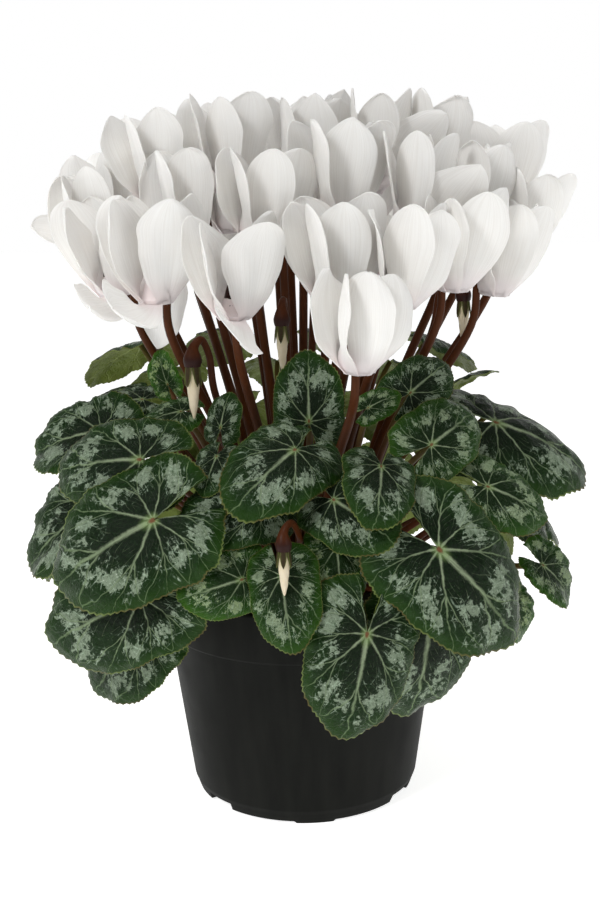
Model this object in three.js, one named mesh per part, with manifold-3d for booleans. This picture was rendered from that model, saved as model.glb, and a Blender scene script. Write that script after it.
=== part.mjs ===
// A potted cyclamen: a black nursery pot of peat, a tuber with its flower stems, marbled
// heart-shaped leaves on their stalks, white blooms with swept-back petals, and hanging buds.
// Millimetres, +Z up, the plant's front towards -Y. The origin is the middle of the pot's underside.

import * as THREE from "three";
import { mergeVertices } from "three/addons/utils/BufferGeometryUtils.js";
import Module from "manifold-3d";

const wasm = await Module();
wasm.setup();

// Driving dimensions.
const POT_TOP_RADIUS = 70; // a 14 cm pot
const POT_BASE_RADIUS = 54;
const POT_HEIGHT = 106;
const BAND_DEPTH = 24; // the thicker band under the rim
const WALL = 1.6;
const NOTCHES = [-50, 58, 184]; // between the feet, in degrees from the front
const SOIL_LEVEL = 90;
const TUBER_RADIUS = 24;
const TUBER_TOP = 99;
const CROWN_RADIUS = 14; // where the flower stems leave the tuber
const STALK_RINGS = [20.5, 25.5]; // where the stalks of the upper and the lower leaves leave it
const STALK_LEVELS = [96.9, 92.3];
const UPPER_LEAVES_FROM = 158;
const STEM_RADIUS = 2.2;
const STALK_RADIUS = 1.5;
const LEAF_THICKNESS = 0.9;
const PETAL_THICKNESS = 0.8;
const PETAL_LENGTH = 43;
const PETAL_HALF_WIDTH = 19.2;
const GAP = 0.3; // between pieces that touch

const green = new THREE.MeshStandardMaterial({ color: 0x2f4a26, roughness: 0.5, metalness: 0 });
const white = new THREE.MeshStandardMaterial({ color: 0xefedea, roughness: 0.6, metalness: 0 });
const cream = new THREE.MeshStandardMaterial({ color: 0xe6d9b8, roughness: 0.6, metalness: 0 });
const russet = new THREE.MeshStandardMaterial({ color: 0x5a2c1a, roughness: 0.5, metalness: 0 });
const black = new THREE.MeshStandardMaterial({ color: 0x232320, roughness: 0.55, metalness: 0 });
const peat = new THREE.MeshStandardMaterial({ color: 0x1c130c, roughness: 1, metalness: 0 });

// Leaves that the front shows: [stalk end x, y, z, tip x, y, z, roll of the face in degrees, fold].
// A fold above 0 lifts the two halves; below 0 they hang from the rib.
const FRONT_LEAVES = [
  [25, -124, 117, 15, -120, 71, 0, -0.1],
  [51, -106, 116, 43, -93, 68, 0, 0],
  [54, -114, 148, 88, -101, 104, 0, -0.1],
  [-8, -121, 140, -4, -131, 111, 0, -0.2],
  [-2, -99, 186, -28, -121, 165, 0, -0.1],
  [-17, -98, 164, -50, -104, 156, 0, -0.1],
  [13, -107, 167, 37, -123, 152, 0, -0.1],
  [32, -106, 180, 28, -130, 160, 0, 0],
  [54, -84, 184, 75, -62, 194, 0, 0],
  [87, -40, 185, 133, -24, 156, 0, -0.2],
  [74, 22, 192, 98, 22, 200, 0, 0],
  [47, -66, 203, 65, -50, 214, 0, 0],
  [29, -72, 198, 43, -68, 203, 0, 0],
  [4, -68, 192, 4, -62, 222, 0, 0],
  [-58, -40, 205, -62, -34, 220, 0, 0.3],
  [-71, -27, 196, -93, -17, 190, 0, 0],
  [-51, -56, 195, -70, -52, 188, 0, 0],
  [-66, -84, 180, -106, -67, 172, 0, -0.1],
  [-88, -45, 185, -122, -28, 171, 0, 0.3],
  [-88, -58, 156, -123, -48, 123, 0, 0.3],
  [-59, -107, 160, -104, -95, 129, 0, -0.1],
  [-66, -104, 127, -108, -86, 101, 0, -0.1],
  [-70, -83, 106, -92, -68, 72, 0, 0],
  [-24, -111, 136, -51, -108, 127, 0, -0.1],
  [-104, -20, 142, -125, -8, 108, 0, 0],
  [78, -80, 165, 105, -72, 148, 0, 0],
  [86, -44, 154, 113, -38, 131, 0, 0],
  [106, -58, 124, 121, -48, 104, 0, 0.3],
  [104, 0, 146, 126, 10, 114, 0, 0],
  [90, -66, 110, 98, -58, 90, 0, 0.4],
  [42, -110, 143, 35, -116, 133, 0, 0],
  [14, -108, 148, 15, -116, 122, 0, 0],
  [-33, -74, 191, -29, -66, 205, 0, 0],
  [-84, 4, 196, -104, 12, 186, 0, 0],
  [-34, -90, 182, -39, -100, 167, 0, 0],
  [96, 14, 184, 128, 16, 160, 0, 0],
];

// Leaves at the back, in tiers from the top: how many, between which azimuths from the front, and the
// stalk end's distance out and height, the blade's length and slope, and how far neighbours stand apart.
const BACK_TIERS = [
  { count: 7, from: 123, to: 250, out: 92, height: 205, length: 36, slope: 34, step: -8 },
  { count: 8, from: 110, to: 260, out: 101, height: 166, length: 35, slope: 56, step: -7 },
  { count: 6, from: 112, to: 264, out: 112, height: 132, length: 48, slope: 66, step: 3 },
];

// Blooms: [nose x, y, z, turn about the axis in degrees, size, openness]. A less open one bellies out.
const BLOOMS = [
  [-26, -75, 237, 23, 1, 0.92],
  [16, -67, 241, -46, 1.05, 0.81],
  [24, -97, 217, 0, 0.95, 0.3],
  [42, -72, 240, 24, 1, 0.92],
  [67, -48, 245, -20, 1, 1],
  [88, -26, 241, -11, 1, 0.98],
  [-59, -60, 243, 30, 1.05, 0.75],
  [-81, -30, 244, 14, 1, 1.06],
  [-48, -31, 263, -22, 1, 0.75],
  [-16, -43, 266, 40, 1, 1.03],
  [18, -36, 274, -10, 1.05, 1],
  [50, -35, 270, -6, 1, 0.92],
  [77, -5, 266, -39, 1, 1.05],
  [-91, 2, 258, -2, 1, 1.05],
  [-62, -6, 282, 0, 1, 1.1],
  [-30, -4, 288, 30, 1, 1],
  [2, -2, 285, 30, 1.05, 0.88],
  [34, -2, 290, -30, 1, 1],
  [59, 20, 290, -23, 1, 1.11],
  [102, 5, 255, -12, 0.95, 1.14],
  [98, 34, 278, 22, 1, 1.09],
  [-85, 35, 266, 12, 1, 1.06],
  [-51, 32, 281, 10, 1, 1],
  [-17, 34, 279, 25, 1, 0.86],
  [4, 22, 291, 13, 1, 1.03],
  [35, 32, 286, 32, 1, 0.99],
  [-61, 62, 260, 11, 1, 1.04],
  [-32, 57, 268, 18, 1, 0.88],
  [0, 60, 276, -12, 1, 1.11],
  [34, 62, 269, -2, 1, 1.03],
  [66, 51, 267, -10, 1, 0.95],
  [-25, 83, 248, 0, 1, 1.1],
  [11, 86, 248, 0, 1, 1.1],
  [48, 78, 244, 22, 1, 1.14],
];

// Petals that hang loose: the bloom, which of its five petals, and how far it has dropped, in degrees.
const LOOSE_PETALS = [
  [1, 2, 75],
  [7, 2, 72],
  [8, 3, 75],
  [9, 2, 150],
  [12, 2, 30],
  [18, 2, 30],
  [22, 3, 60],
  [27, 2, 80],
  [31, 3, 110],
  [34, 1, 60],
];

// Buds hang from their own stems: [tip x, y, z, size, and the stem's own way up where leaves are close].
const BUDS = [
  [-45, -62, 193, 1.0],
  [-7, -44, 210, 0.9],
  [76, -14, 217, 0.9],
  [-7, -127, 134, 0.8, [[-6.5, -11.8, 94], [-6, -49.6, 132.4], [-7.6, -74.2, 137.6], [-0.6, -105.6, 150]]],
];

// Numbers between -1 and 1 that are the same on every run.
function seeded(seed) {
  let state = seed >>> 0;
  return () => {
    state = (Math.imul(state, 1664525) + 1013904223) >>> 0;
    return (state / 4294967296) * 2 - 1;
  };
}

const vector = (x, y, z) => new THREE.Vector3(x, y, z);
const radians = THREE.MathUtils.degToRad;

function solidOf(geometry) {
  geometry.deleteAttribute("normal");
  geometry.deleteAttribute("uv");
  const merged = mergeVertices(geometry, 1e-4);
  return new wasm.Manifold(
    new wasm.Mesh({
      numProp: 3,
      vertProperties: merged.attributes.position.array,
      triVerts: new Uint32Array(merged.index.array),
    }),
  );
}

function meshOf(solid, name, material) {
  const made = solid.getMesh();
  const geometry = new THREE.BufferGeometry();
  geometry.setAttribute("position", new THREE.BufferAttribute(made.vertProperties, 3));
  geometry.setIndex(new THREE.BufferAttribute(made.triVerts, 1));
  geometry.computeVertexNormals();
  const mesh = new THREE.Mesh(geometry, material.clone());
  mesh.name = name;
  return mesh;
}

function closedGeometry(points, triangles) {
  const geometry = new THREE.BufferGeometry();
  geometry.setAttribute(
    "position",
    new THREE.BufferAttribute(new Float32Array(points.flatMap((p) => [p.x, p.y, p.z])), 3),
  );
  geometry.setIndex(triangles.flat());
  return geometry;
}

// A solid skin over rings of equal count, with a flat cap at each end.
function skin(rings) {
  const sides = rings[0].length;
  const triangles = [];
  for (let i = 0; i + 1 < rings.length; i++)
    for (let j = 0; j < sides; j++) {
      const k = (j + 1) % sides;
      const [a, b] = [i * sides + j, i * sides + k];
      triangles.push([a, b, b + sides], [a, b + sides, a + sides]);
    }
  const last = (rings.length - 1) * sides;
  for (let j = 1; j + 1 < sides; j++) {
    triangles.push([0, j + 1, j]);
    triangles.push([last, last + j, last + j + 1]);
  }
  return solidOf(closedGeometry(rings.flat(), triangles));
}

// A stalk along a curve, its section carried without twist, its radius given by a function of 0..1.
function stalk(curve, radiusAt, sides, steps) {
  const rings = [];
  let side = null;
  for (let i = 0; i <= steps; i++) {
    const t = i / steps;
    const along = curve.getTangent(t);
    if (!side) side = Math.abs(along.z) > 0.9 ? vector(1, 0, 0) : vector(0, 0, 1);
    side = side.clone().addScaledVector(along, -side.dot(along)).normalize();
    const across = along.clone().cross(side);
    const centre = curve.getPoint(t);
    rings.push(
      Array.from({ length: sides }, (_, j) => {
        const angle = (2 * Math.PI * j) / sides;
        return centre
          .clone()
          .addScaledVector(side, radiusAt(t) * Math.cos(angle))
          .addScaledVector(across, radiusAt(t) * Math.sin(angle));
      }),
    );
  }
  return skin(rings);
}

// Vertex normals of a sheet, weighted by triangle area.
function sheetNormals(points, triangles) {
  const normals = points.map(() => vector(0, 0, 0));
  for (const [a, b, c] of triangles) {
    const n = points[b].clone().sub(points[a]).cross(points[c].clone().sub(points[a]));
    for (const k of [a, b, c]) normals[k].add(n);
  }
  return normals.map((n) => n.normalize());
}

// Leaf outline: the distance from the stalk end to the edge, as a share of the length, at an angle
// from the tip.
const SINUS = radians(164);
function outline(angle) {
  return (
    0.585 +
    0.17 * Math.cos(angle) +
    0.08 * Math.cos(2 * angle) +
    0.055 * Math.cos(3 * angle) +
    0.11 * Math.exp(-((angle / 0.28) ** 2))
  );
}

// A leaf's own frame and form, from its row and its number.
const MOUND_CENTRE = vector(0, 0, 112);
function leafForm(row, index) {
  const [ax, ay, az, tx, ty, tz, roll, fold] = row;
  const random = seeded(1000 + 77 * index);
  const at = vector(ax, ay, az);
  const tip = vector(tx, ty, tz);
  const along = tip.clone().sub(at);
  const length = along.length();
  along.normalize();
  const middle = at.clone().add(tip).multiplyScalar(0.5).sub(MOUND_CENTRE);
  let normal = middle.addScaledVector(along, -middle.dot(along)).normalize();
  normal.applyAxisAngle(along, radians(roll + 5 * random()));
  const side = along.clone().cross(normal);
  return {
    at,
    along,
    normal,
    side,
    length,
    fold,
    arch: 0.26 + 0.08 * random(),
    wave: 0.03 + 0.012 * random(),
    waves: 3 + Math.round(0.5 + 0.5 * random()),
    phase: Math.PI * random(),
    width: 0.97 + 0.05 * random(),
  };
}

// A point of the blade at an angle from the tip and a share of the way to the edge.
function leafPoint(form, angle, share, edge = 1) {
  const reach = share * outline(angle) * edge;
  const x = reach * Math.sin(angle) * form.width;
  const y = reach * Math.cos(angle);
  const z =
    form.arch * y * (1 - y) -
    0.28 * x * x +
    form.fold * (Math.sqrt(x * x + 0.004) - 0.063) +
    form.wave * share ** 3 * Math.sin(form.waves * angle + form.phase);
  return form.at
    .clone()
    .addScaledVector(form.side, x * form.length)
    .addScaledVector(form.along, y * form.length)
    .addScaledVector(form.normal, z * form.length);
}

const azimuthOf = (p) => Math.atan2(p.x, -p.y);
const onRing = (azimuth, radius, height) =>
  vector(radius * Math.sin(azimuth), -radius * Math.cos(azimuth), height);

function allLeafRows() {
  const rows = FRONT_LEAVES.map((row) => [...row]);
  for (const [number, tier] of BACK_TIERS.entries()) {
    const { count, from, to, out, height, length, slope, step } = tier;
    const random = seeded(50 + number);
    for (let i = 0; i < count; i++) {
      const share = (i + 0.5 + 0.04 * random()) / count;
      const azimuth = radians(from + (to - from) * share);
      const lift = i % 2 ? step : -step;
      const at = onRing(azimuth, out + 2 * random() - 0.4 * lift, height + lift);
      const run = length * Math.cos(radians(slope + 5 * random()));
      const fall = length * Math.sin(radians(slope));
      const tip = onRing(azimuth + 0.12 * random(), out + run, at.z - fall);
      rows.push([at.x, at.y, at.z, tip.x, tip.y, tip.z, 4 + 4 * random(), -0.1]);
    }
  }
  return rows;
}

// A leaf's stalk rises from the tuber's shoulder and arches over to meet the blade from below.
const STALK_STEPS = 3;
function stalkCurve(form, root) {
  const out = form.at.clone().setZ(0).normalize();
  const rise = form.at.z - root.z;
  const end = form.at.clone().addScaledVector(form.along, 0.6);
  const reach = end.distanceTo(root);
  const leave = root
    .clone()
    .addScaledVector(out, 0.16 * reach)
    .add(vector(0, 0, Math.max(0.42 * rise, 24)));
  const arrive = end
    .clone()
    .addScaledVector(form.normal, -0.2 * reach)
    .addScaledVector(form.along, -0.04 * reach);
  return new THREE.CubicBezierCurve3(root, leave, arrive, end);
}

// Four corners of the stalk's section, counter-clockwise about the way it grows.
function section(centre, along, across, radius) {
  const side = across.clone().addScaledVector(along, -across.dot(along)).normalize();
  const over = along.clone().cross(side);
  return [
    [-1, -1],
    [1, -1],
    [1, 1],
    [-1, 1],
  ].map(([i, j]) =>
    centre
      .clone()
      .addScaledVector(side, i * 0.8 * radius)
      .addScaledVector(over, j * 0.8 * radius),
  );
}

// The blade: an inner ring about the stalk end and an edge of teeth, alike on both faces.
const INNER_SHARE = 0.55;
const UNDERSIDE_STEPS = {
  3: ["chain", "stalk", "chain", "stalk", "chain", "stalk"],
  4: ["chain", "stalk", "chain", "stalk", "chain", "stalk", "chain"],
  5: ["chain", "stalk", "chain", "stalk", "chain", "chain", "stalk", "chain"],
};
const TOOTH = 0.045;
function addLeaf(points, triangles, form, root, across) {
  const inner = form.length < 26 ? 3 : form.length < 44 ? 4 : 5;
  const outer = inner * 4;
  const sheet = [leafPoint(form, 0, 0)];
  for (let i = 0; i <= inner; i++)
    sheet.push(leafPoint(form, SINUS * ((2 * i) / inner - 1), INNER_SHARE));
  const first = sheet.length;
  for (let i = 0; i <= outer; i++) {
    const edge = 1 + (i % 2 ? TOOTH : -TOOTH) / 2;
    sheet.push(leafPoint(form, SINUS * ((2 * i) / outer - 1), 1, edge));
  }
  const fan = [];
  const ribs = [];
  for (let i = 0; i < inner; i++) {
    fan.push([0, 2 + i, 1 + i]);
    const a = first + 4 * i;
    ribs.push([1 + i, a + 1, a], [1 + i, a + 2, a + 1]);
    ribs.push([1 + i, 2 + i, a + 2]);
    ribs.push([2 + i, a + 3, a + 2], [2 + i, a + 4, a + 3]);
  }
  const normals = sheetNormals(sheet, [...fan, ...ribs]);
  const start = points.length;
  const under = start + sheet.length - 1;
  const half = LEAF_THICKNESS / 2;
  sheet.forEach((p, i) => points.push(p.clone().addScaledVector(normals[i], half)));
  for (let i = 1; i < sheet.length; i++)
    points.push(sheet[i].clone().addScaledVector(normals[i], -half));
  for (const [a, b, c] of [...fan, ...ribs]) triangles.push([start + a, start + b, start + c]);
  for (const [a, b, c] of ribs) triangles.push([under + a, under + c, under + b]);
  for (let i = outer; i > 0; i--) {
    const [a, b] = [first + i, first + i - 1];
    triangles.push([start + b, start + a, under + a], [start + b, under + a, under + b]);
  }

  const curve = stalkCurve(form, root);
  const facing = across.dot(form.side) < 0 ? -1 : 1;
  const last = form.side.clone().multiplyScalar(facing);
  const rings = [];
  for (let i = 0; i <= STALK_STEPS; i++) {
    const t = i / STALK_STEPS;
    const radius = STALK_RADIUS * (1.15 - 0.3 * t);
    const centre = curve.getPoint(t);
    let along = curve.getTangent(t);
    if (i === 0) along = vector(0, 0, 1);
    if (i === STALK_STEPS) {
      along = form.normal;
      centre.addScaledVector(form.normal, -half);
    }
    rings.push(section(centre, along, across.clone().lerp(last, t), radius));
  }
  const ring0 = points.length;
  points.push(...rings.flat());
  for (let i = 0; i < STALK_STEPS; i++)
    for (let j = 0; j < 4; j++) {
      const [a, b] = [ring0 + 4 * i + j, ring0 + 4 * i + ((j + 1) % 4)];
      triangles.push([a, b, b + 4], [a, b + 4, a + 4]);
    }

  // The underside closes round the stalk: its back-left, front-left, front-right and back-right corners.
  const top = ring0 + 4 * STALK_STEPS;
  const corners = (facing > 0 ? [0, 3, 2, 1] : [2, 1, 0, 3]).map((k) => top + k);
  const chain = Array.from({ length: inner + 1 }, (_, i) => under + 1 + i);
  let [i, j] = [0, 0];
  for (const step of UNDERSIDE_STEPS[inner])
    if (step === "chain") {
      triangles.push([corners[j], chain[i], chain[i + 1]]);
      i += 1;
    } else {
      triangles.push([corners[j], chain[i], corners[j + 1]]);
      j += 1;
    }
  const [leftTop, rightTop] = [start + 1, start + 1 + inner];
  const [left, right] = [chain[0], chain[inner]];
  const [outerLeft, outerRight] = [first, first + outer];
  triangles.push([start, leftTop, left], [start, left, corners[0]]);
  triangles.push([rightTop, start, corners[3]], [rightTop, corners[3], right]);
  triangles.push([start, corners[0], corners[3]]);
  triangles.push([leftTop, start + outerLeft, under + outerLeft]);
  triangles.push([leftTop, under + outerLeft, left]);
  triangles.push([start + outerRight, rightTop, right]);
  triangles.push([start + outerRight, right, under + outerRight]);
  return [ring0, ring0 + 1, ring0 + 2, ring0 + 3];
}

// Three leaves from one bud of the tuber, their stalks side by side on a small block.
const FOOT_SPREAD = 3.3;
const FOOT_DEPTH = 3;
function leafCluster({ leaves, azimuth, foot: middle }) {
  const across = vector(Math.cos(azimuth), Math.sin(azimuth), 0);
  const points = [];
  const triangles = [];
  const tops = leaves.map((form, i) => {
    const root = middle.clone().addScaledVector(across, (i - 1) * FOOT_SPREAD);
    return addLeaf(points, triangles, form, root, across);
  });
  const [A, B, C] = tops;
  const foot = [A[0], C[1], C[2], A[3]].map(
    (k) => points.push(points[k].clone().add(vector(0, 0, -FOOT_DEPTH))) - 1,
  );
  const outside = [foot[1], C[1], C[0], B[1], B[0], A[1], A[0]];
  const inside = [foot[3], A[3], A[2], B[3], B[2], C[3], C[2]];
  for (let i = 0; i + 1 < outside.length; i++) {
    triangles.push([foot[0], outside[i], outside[i + 1]]);
    triangles.push([foot[2], inside[i], inside[i + 1]]);
  }
  triangles.push(
    [foot[1], foot[2], C[2]],
    [foot[1], C[2], C[1]],
    [foot[3], foot[0], A[0]],
    [foot[3], A[0], A[3]],
    [foot[0], foot[2], foot[1]],
    [foot[0], foot[3], foot[2]],
  );
  for (const [left, right] of [
    [A, B],
    [B, C],
  ])
    triangles.push([left[1], right[0], right[3]], [left[1], right[3], left[2]]);
  return solidOf(closedGeometry(points, triangles));
}

// The leaves in threes, upper and lower ones apart, and where each three leave the tuber.
const FOOT_WIDTH = 10;
function leafLayout() {
  const forms = allLeafRows().map(leafForm);
  return [0, 1].flatMap((ring) => {
    const own = forms
      .filter((form) => form.at.z >= UPPER_LEAVES_FROM === (ring === 0))
      .sort((a, b) => azimuthOf(a.at) - azimuthOf(b.at));
    const clusters = [];
    for (let i = 0; i < own.length; i += 3) clusters.push(own.slice(i, i + 3));
    const azimuths = clusters.map(([, middle]) => azimuthOf(middle.at));
    const spacing = FOOT_WIDTH / STALK_RINGS[ring];
    for (let pass = 0; pass < 60; pass++)
      for (let i = 0; i < azimuths.length; i++) {
        const k = (i + 1) % azimuths.length;
        const apart = azimuths[k] + (k ? 0 : 2 * Math.PI) - azimuths[i];
        const push = Math.max(0, spacing - apart) / 2;
        azimuths[i] -= push;
        azimuths[k] += push;
      }
    return clusters.map((leaves, i) => ({
      leaves,
      azimuth: azimuths[i],
      foot: onRing(azimuths[i], STALK_RINGS[ring], STALK_LEVELS[ring]),
    }));
  });
}

// A bloom's frame: its axis runs from the mouth up to the sepals, and leans in towards the plant.
function bloomForm(row, index) {
  const [x, y, z, turn, size, open] = row;
  const random = seeded(500 + 31 * index);
  const nose = vector(x, y, z);
  const reach = Math.hypot(x, y);
  const inward = reach > 1 ? vector(-x / reach, -y / reach, 0) : vector(0, 1, 0);
  inward.applyAxisAngle(vector(0, 0, 1), radians(turn));
  const lean = radians(1 + 5 * Math.min(1, reach / 90) + 2 * random());
  const axis = vector(0, 0, Math.cos(lean)).addScaledVector(inward, -Math.sin(lean));
  const stemSide = inward.clone().addScaledVector(axis, -inward.dot(axis)).normalize();
  const third = axis.clone().cross(stemSide);
  const loose = LOOSE_PETALS.filter(([bloom]) => bloom === index + 1);
  const dropOf = (k) => loose.find(([, petal]) => petal === k)?.[2] ?? 0;
  const petals = [-102, -52, 0, 52, 102].map((angle, k) => ({
    azimuth: radians(180 + angle + 2 * random()),
    flare: open * (0.243 + 0.03 * random()),
    belly: 1.1 + 6 * Math.max(0, 0.9 - open),
    twist: radians(46 + 4 * random()),
    cup: 24 + 2 * random(),
    length: PETAL_LENGTH * size * (1 + 0.05 * random()),
    halfWidth: PETAL_HALF_WIDTH * size,
    recurve: 2 * random(),
    drop: radians(dropOf(k)),
  }));
  return { nose, axis, stemSide, third, size, petals };
}

const inBloom = (form, x, y, z) =>
  form.nose
    .clone()
    .addScaledVector(form.stemSide, x)
    .addScaledVector(form.third, y)
    .addScaledVector(form.axis, z);

// Half the petal's width, as a share of the widest, at a share of its length.
function petalWidth(s) {
  return 0.16 * (1 - s) ** 3 + 1.87 * s ** 1.2 * (1 - s) ** 0.62;
}

const MOUTH_RADIUS = 5.7;
// A point of a petal at a share of its length, and -1 to 1 across.
function petalPoint(form, petal, s, across) {
  const { azimuth, flare, belly, cup, length, halfWidth, recurve } = petal;
  const radius =
    MOUTH_RADIUS * form.size +
    1.6 * (1 - Math.exp(-s / 0.06)) +
    length * flare * s +
    belly * Math.sin(Math.PI * s) +
    recurve * s ** 4;
  const q = across * halfWidth * petalWidth(s);
  const turn = petal.twist * Math.min(1, s / 0.3);
  const mouth = MOUTH_RADIUS * form.size;
  const over = radius + q * Math.sin(turn) - (q * q) / (2 * cup) - mouth;
  const rise = 0.97 * length * s;
  const out = mouth + over * Math.cos(petal.drop) + rise * Math.sin(petal.drop);
  const tangential = q * Math.cos(turn);
  const x = out * Math.cos(azimuth) - tangential * Math.sin(azimuth);
  const y = out * Math.sin(azimuth) + tangential * Math.cos(azimuth);
  return inBloom(form, x, y, rise * Math.cos(petal.drop) - over * Math.sin(petal.drop));
}

// A corolla: a short tube whose mouth turns out and back up into five petals.
const TUBE_LENGTH = 8.4; // from the mouth up to the sepals
const PETAL_ROWS = [
  [0.3, [-1, 1]],
  [0.7, [-1, 0, 1]],
  [1, [0]],
];
const PETAL_TRIANGLES = [
  [0, 1, 3],
  [0, 3, 2],
  [2, 3, 5],
  [2, 5, 4],
  [3, 6, 5],
  [4, 5, 7],
  [5, 6, 7],
];
const PETAL_RIM = [1, 3, 6, 7, 4, 2, 0];
function bloomSolid(form) {
  const points = [];
  const triangles = [];
  const add = (point) => points.push(point) - 1;
  const onTube = (angle, radius, z) =>
    add(inBloom(form, radius * Math.cos(angle), radius * Math.sin(angle), z));
  const mouth = MOUTH_RADIUS * form.size;
  const halfBase = radians(18);
  const low = [];
  const high = [];
  const top = [];
  for (const petal of form.petals) {
    for (const angle of [petal.azimuth - halfBase, petal.azimuth + halfBase]) {
      low.push(onTube(angle, mouth, 0));
      high.push(onTube(angle, mouth + 0.2, 1.1));
    }
    top.push(onTube(petal.azimuth, 4.4 * form.size, TUBE_LENGTH));
  }
  form.petals.forEach((petal, k) => {
    const sheet = [points[low[2 * k]], points[low[2 * k + 1]]];
    for (const [s, all] of PETAL_ROWS)
      for (const across of all) sheet.push(petalPoint(form, petal, s, across));
    const normals = sheetNormals(sheet, PETAL_TRIANGLES);
    const outer = [low[2 * k], low[2 * k + 1]];
    const inner = [high[2 * k], high[2 * k + 1]];
    for (let i = 2; i < sheet.length; i++) {
      outer.push(add(sheet[i].clone().addScaledVector(normals[i], PETAL_THICKNESS / 2)));
      inner.push(add(sheet[i].clone().addScaledVector(normals[i], -PETAL_THICKNESS / 2)));
    }
    for (const [a, b, c] of PETAL_TRIANGLES) {
      triangles.push([outer[a], outer[b], outer[c]]);
      triangles.push([inner[a], inner[c], inner[b]]);
    }
    for (let i = 0; i + 1 < PETAL_RIM.length; i++) {
      const [a, b] = [PETAL_RIM[i], PETAL_RIM[i + 1]];
      triangles.push([outer[b], outer[a], inner[a]], [outer[b], inner[a], inner[b]]);
    }
    const [right, left] = [2 * k + 1, (2 * k + 2) % 10];
    const next = (k + 1) % 5;
    triangles.push([low[right], low[left], high[left]], [low[right], high[left], high[right]]);
    triangles.push([high[2 * k], high[right], top[k]]);
    triangles.push([high[right], high[left], top[k]], [high[left], top[next], top[k]]);
  });
  for (let i = 1; i < 9; i++) triangles.push([low[0], low[i + 1], low[i]]);
  for (let i = 1; i < 4; i++) triangles.push([top[0], top[i], top[i + 1]]);
  return solidOf(closedGeometry(points, triangles));
}

// A flower stem: out of the tuber, up past the bloom's mouth between two petals, and over to the
// sepals.
function stemPath(form) {
  const crown = form.nose.clone().setZ(0).multiplyScalar(CROWN_RADIUS / 100);
  const root = vector(crown.x, crown.y, TUBER_TOP - 5);
  const low = inBloom(form, 9, -1, -14);
  const middle = root.clone().lerp(low, 0.55);
  middle.z += 0.1 * form.nose.clone().setZ(0).length();
  const hook = [
    [8.8, -1.2, 3, 1],
    [7.5, -1.4, 12.5, 1],
    [3.8, -0.8, 16.8, 1],
    [0.4, 0, 14.4, 1.15],
    [0, 0, 12, 1.6],
    [0, 0, TUBE_LENGTH + GAP, 1.9],
  ].map(([x, y, z, swell]) => ({ at: inBloom(form, x, y, z), swell }));
  return [{ at: root, swell: 0.85 }, { at: middle, swell: 1 }, { at: low, swell: 1 }, ...hook];
}

// A tube through given points, with a given swell of its section at each.
function tubeAlong(path, radius, sides, side) {
  const rings = path.map(({ at, swell }, i) => {
    const before = path[Math.max(0, i - 1)].at;
    const after = path[Math.min(path.length - 1, i + 1)].at;
    const along = after.clone().sub(before).normalize();
    side = side.clone().addScaledVector(along, -side.dot(along)).normalize();
    const over = along.clone().cross(side);
    return Array.from({ length: sides }, (_, j) => {
      const angle = (2 * Math.PI * j) / sides;
      return at
        .clone()
        .addScaledVector(side, radius * swell * Math.cos(angle))
        .addScaledVector(over, radius * swell * Math.sin(angle));
    });
  });
  return skin(rings);
}

const stemSolid = (form) => tubeAlong(stemPath(form), STEM_RADIUS, 4, form.third);

// A bud: petals furled in a spindle below the sepals, on a stem that hooks over.
const BUD_LENGTH = 22;
function budForm([x, y, z, size, way]) {
  const reach = Math.hypot(x, y);
  const inward = vector(-x / reach, -y / reach, 0);
  return {
    nose: vector(x, y, z),
    axis: vector(0, 0, 1),
    stemSide: inward,
    third: vector(0, 0, 1).cross(inward),
    size,
    way,
  };
}

function budSolid(form) {
  const profile = [
    [0.5, 0],
    [1.7, 0.22],
    [2.7, 0.62],
    [2.9, 0.85],
    [2.0, 1],
  ];
  const rings = profile.map(([radius, share]) =>
    Array.from({ length: 5 }, (_, j) => {
      const angle = (2 * Math.PI * j) / 5;
      const r = radius * form.size;
      return inBloom(form, r * Math.cos(angle), r * Math.sin(angle), share * BUD_LENGTH * form.size);
    }),
  );
  return skin(rings);
}

function budStem(form) {
  const top = BUD_LENGTH * form.size + GAP;
  const crown = form.nose.clone().setZ(0).multiplyScalar(0.1);
  const root = vector(crown.x, crown.y, TUBER_TOP - 5);
  const points = form.way
    ? [
        ...form.way.map((at) => vector(...at)),
        inBloom(form, 9, -2.5, top + 9),
        inBloom(form, 1.2, 0, top + 7),
        inBloom(form, 0, 0, top),
      ]
    : [
        root,
        root.clone().lerp(inBloom(form, 16, 0, top - 14), 0.5),
        inBloom(form, 14, 0, top - 12),
        inBloom(form, 11, 0, top + 4),
        inBloom(form, 6, 0, top + 11),
        inBloom(form, 1, 0, top + 8),
        inBloom(form, 0, 0, top),
      ];
  const curve = new THREE.CatmullRomCurve3(points, false, "centripetal");
  return stalk(curve, (t) => (t > 0.97 ? 3.2 : t > 0.9 ? 2.6 : 1.9) * form.size, 4, 12);
}

const wallRadius = (z) =>
  POT_BASE_RADIUS + ((POT_TOP_RADIUS - 1.2 - POT_BASE_RADIUS) * z) / POT_HEIGHT;

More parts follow.
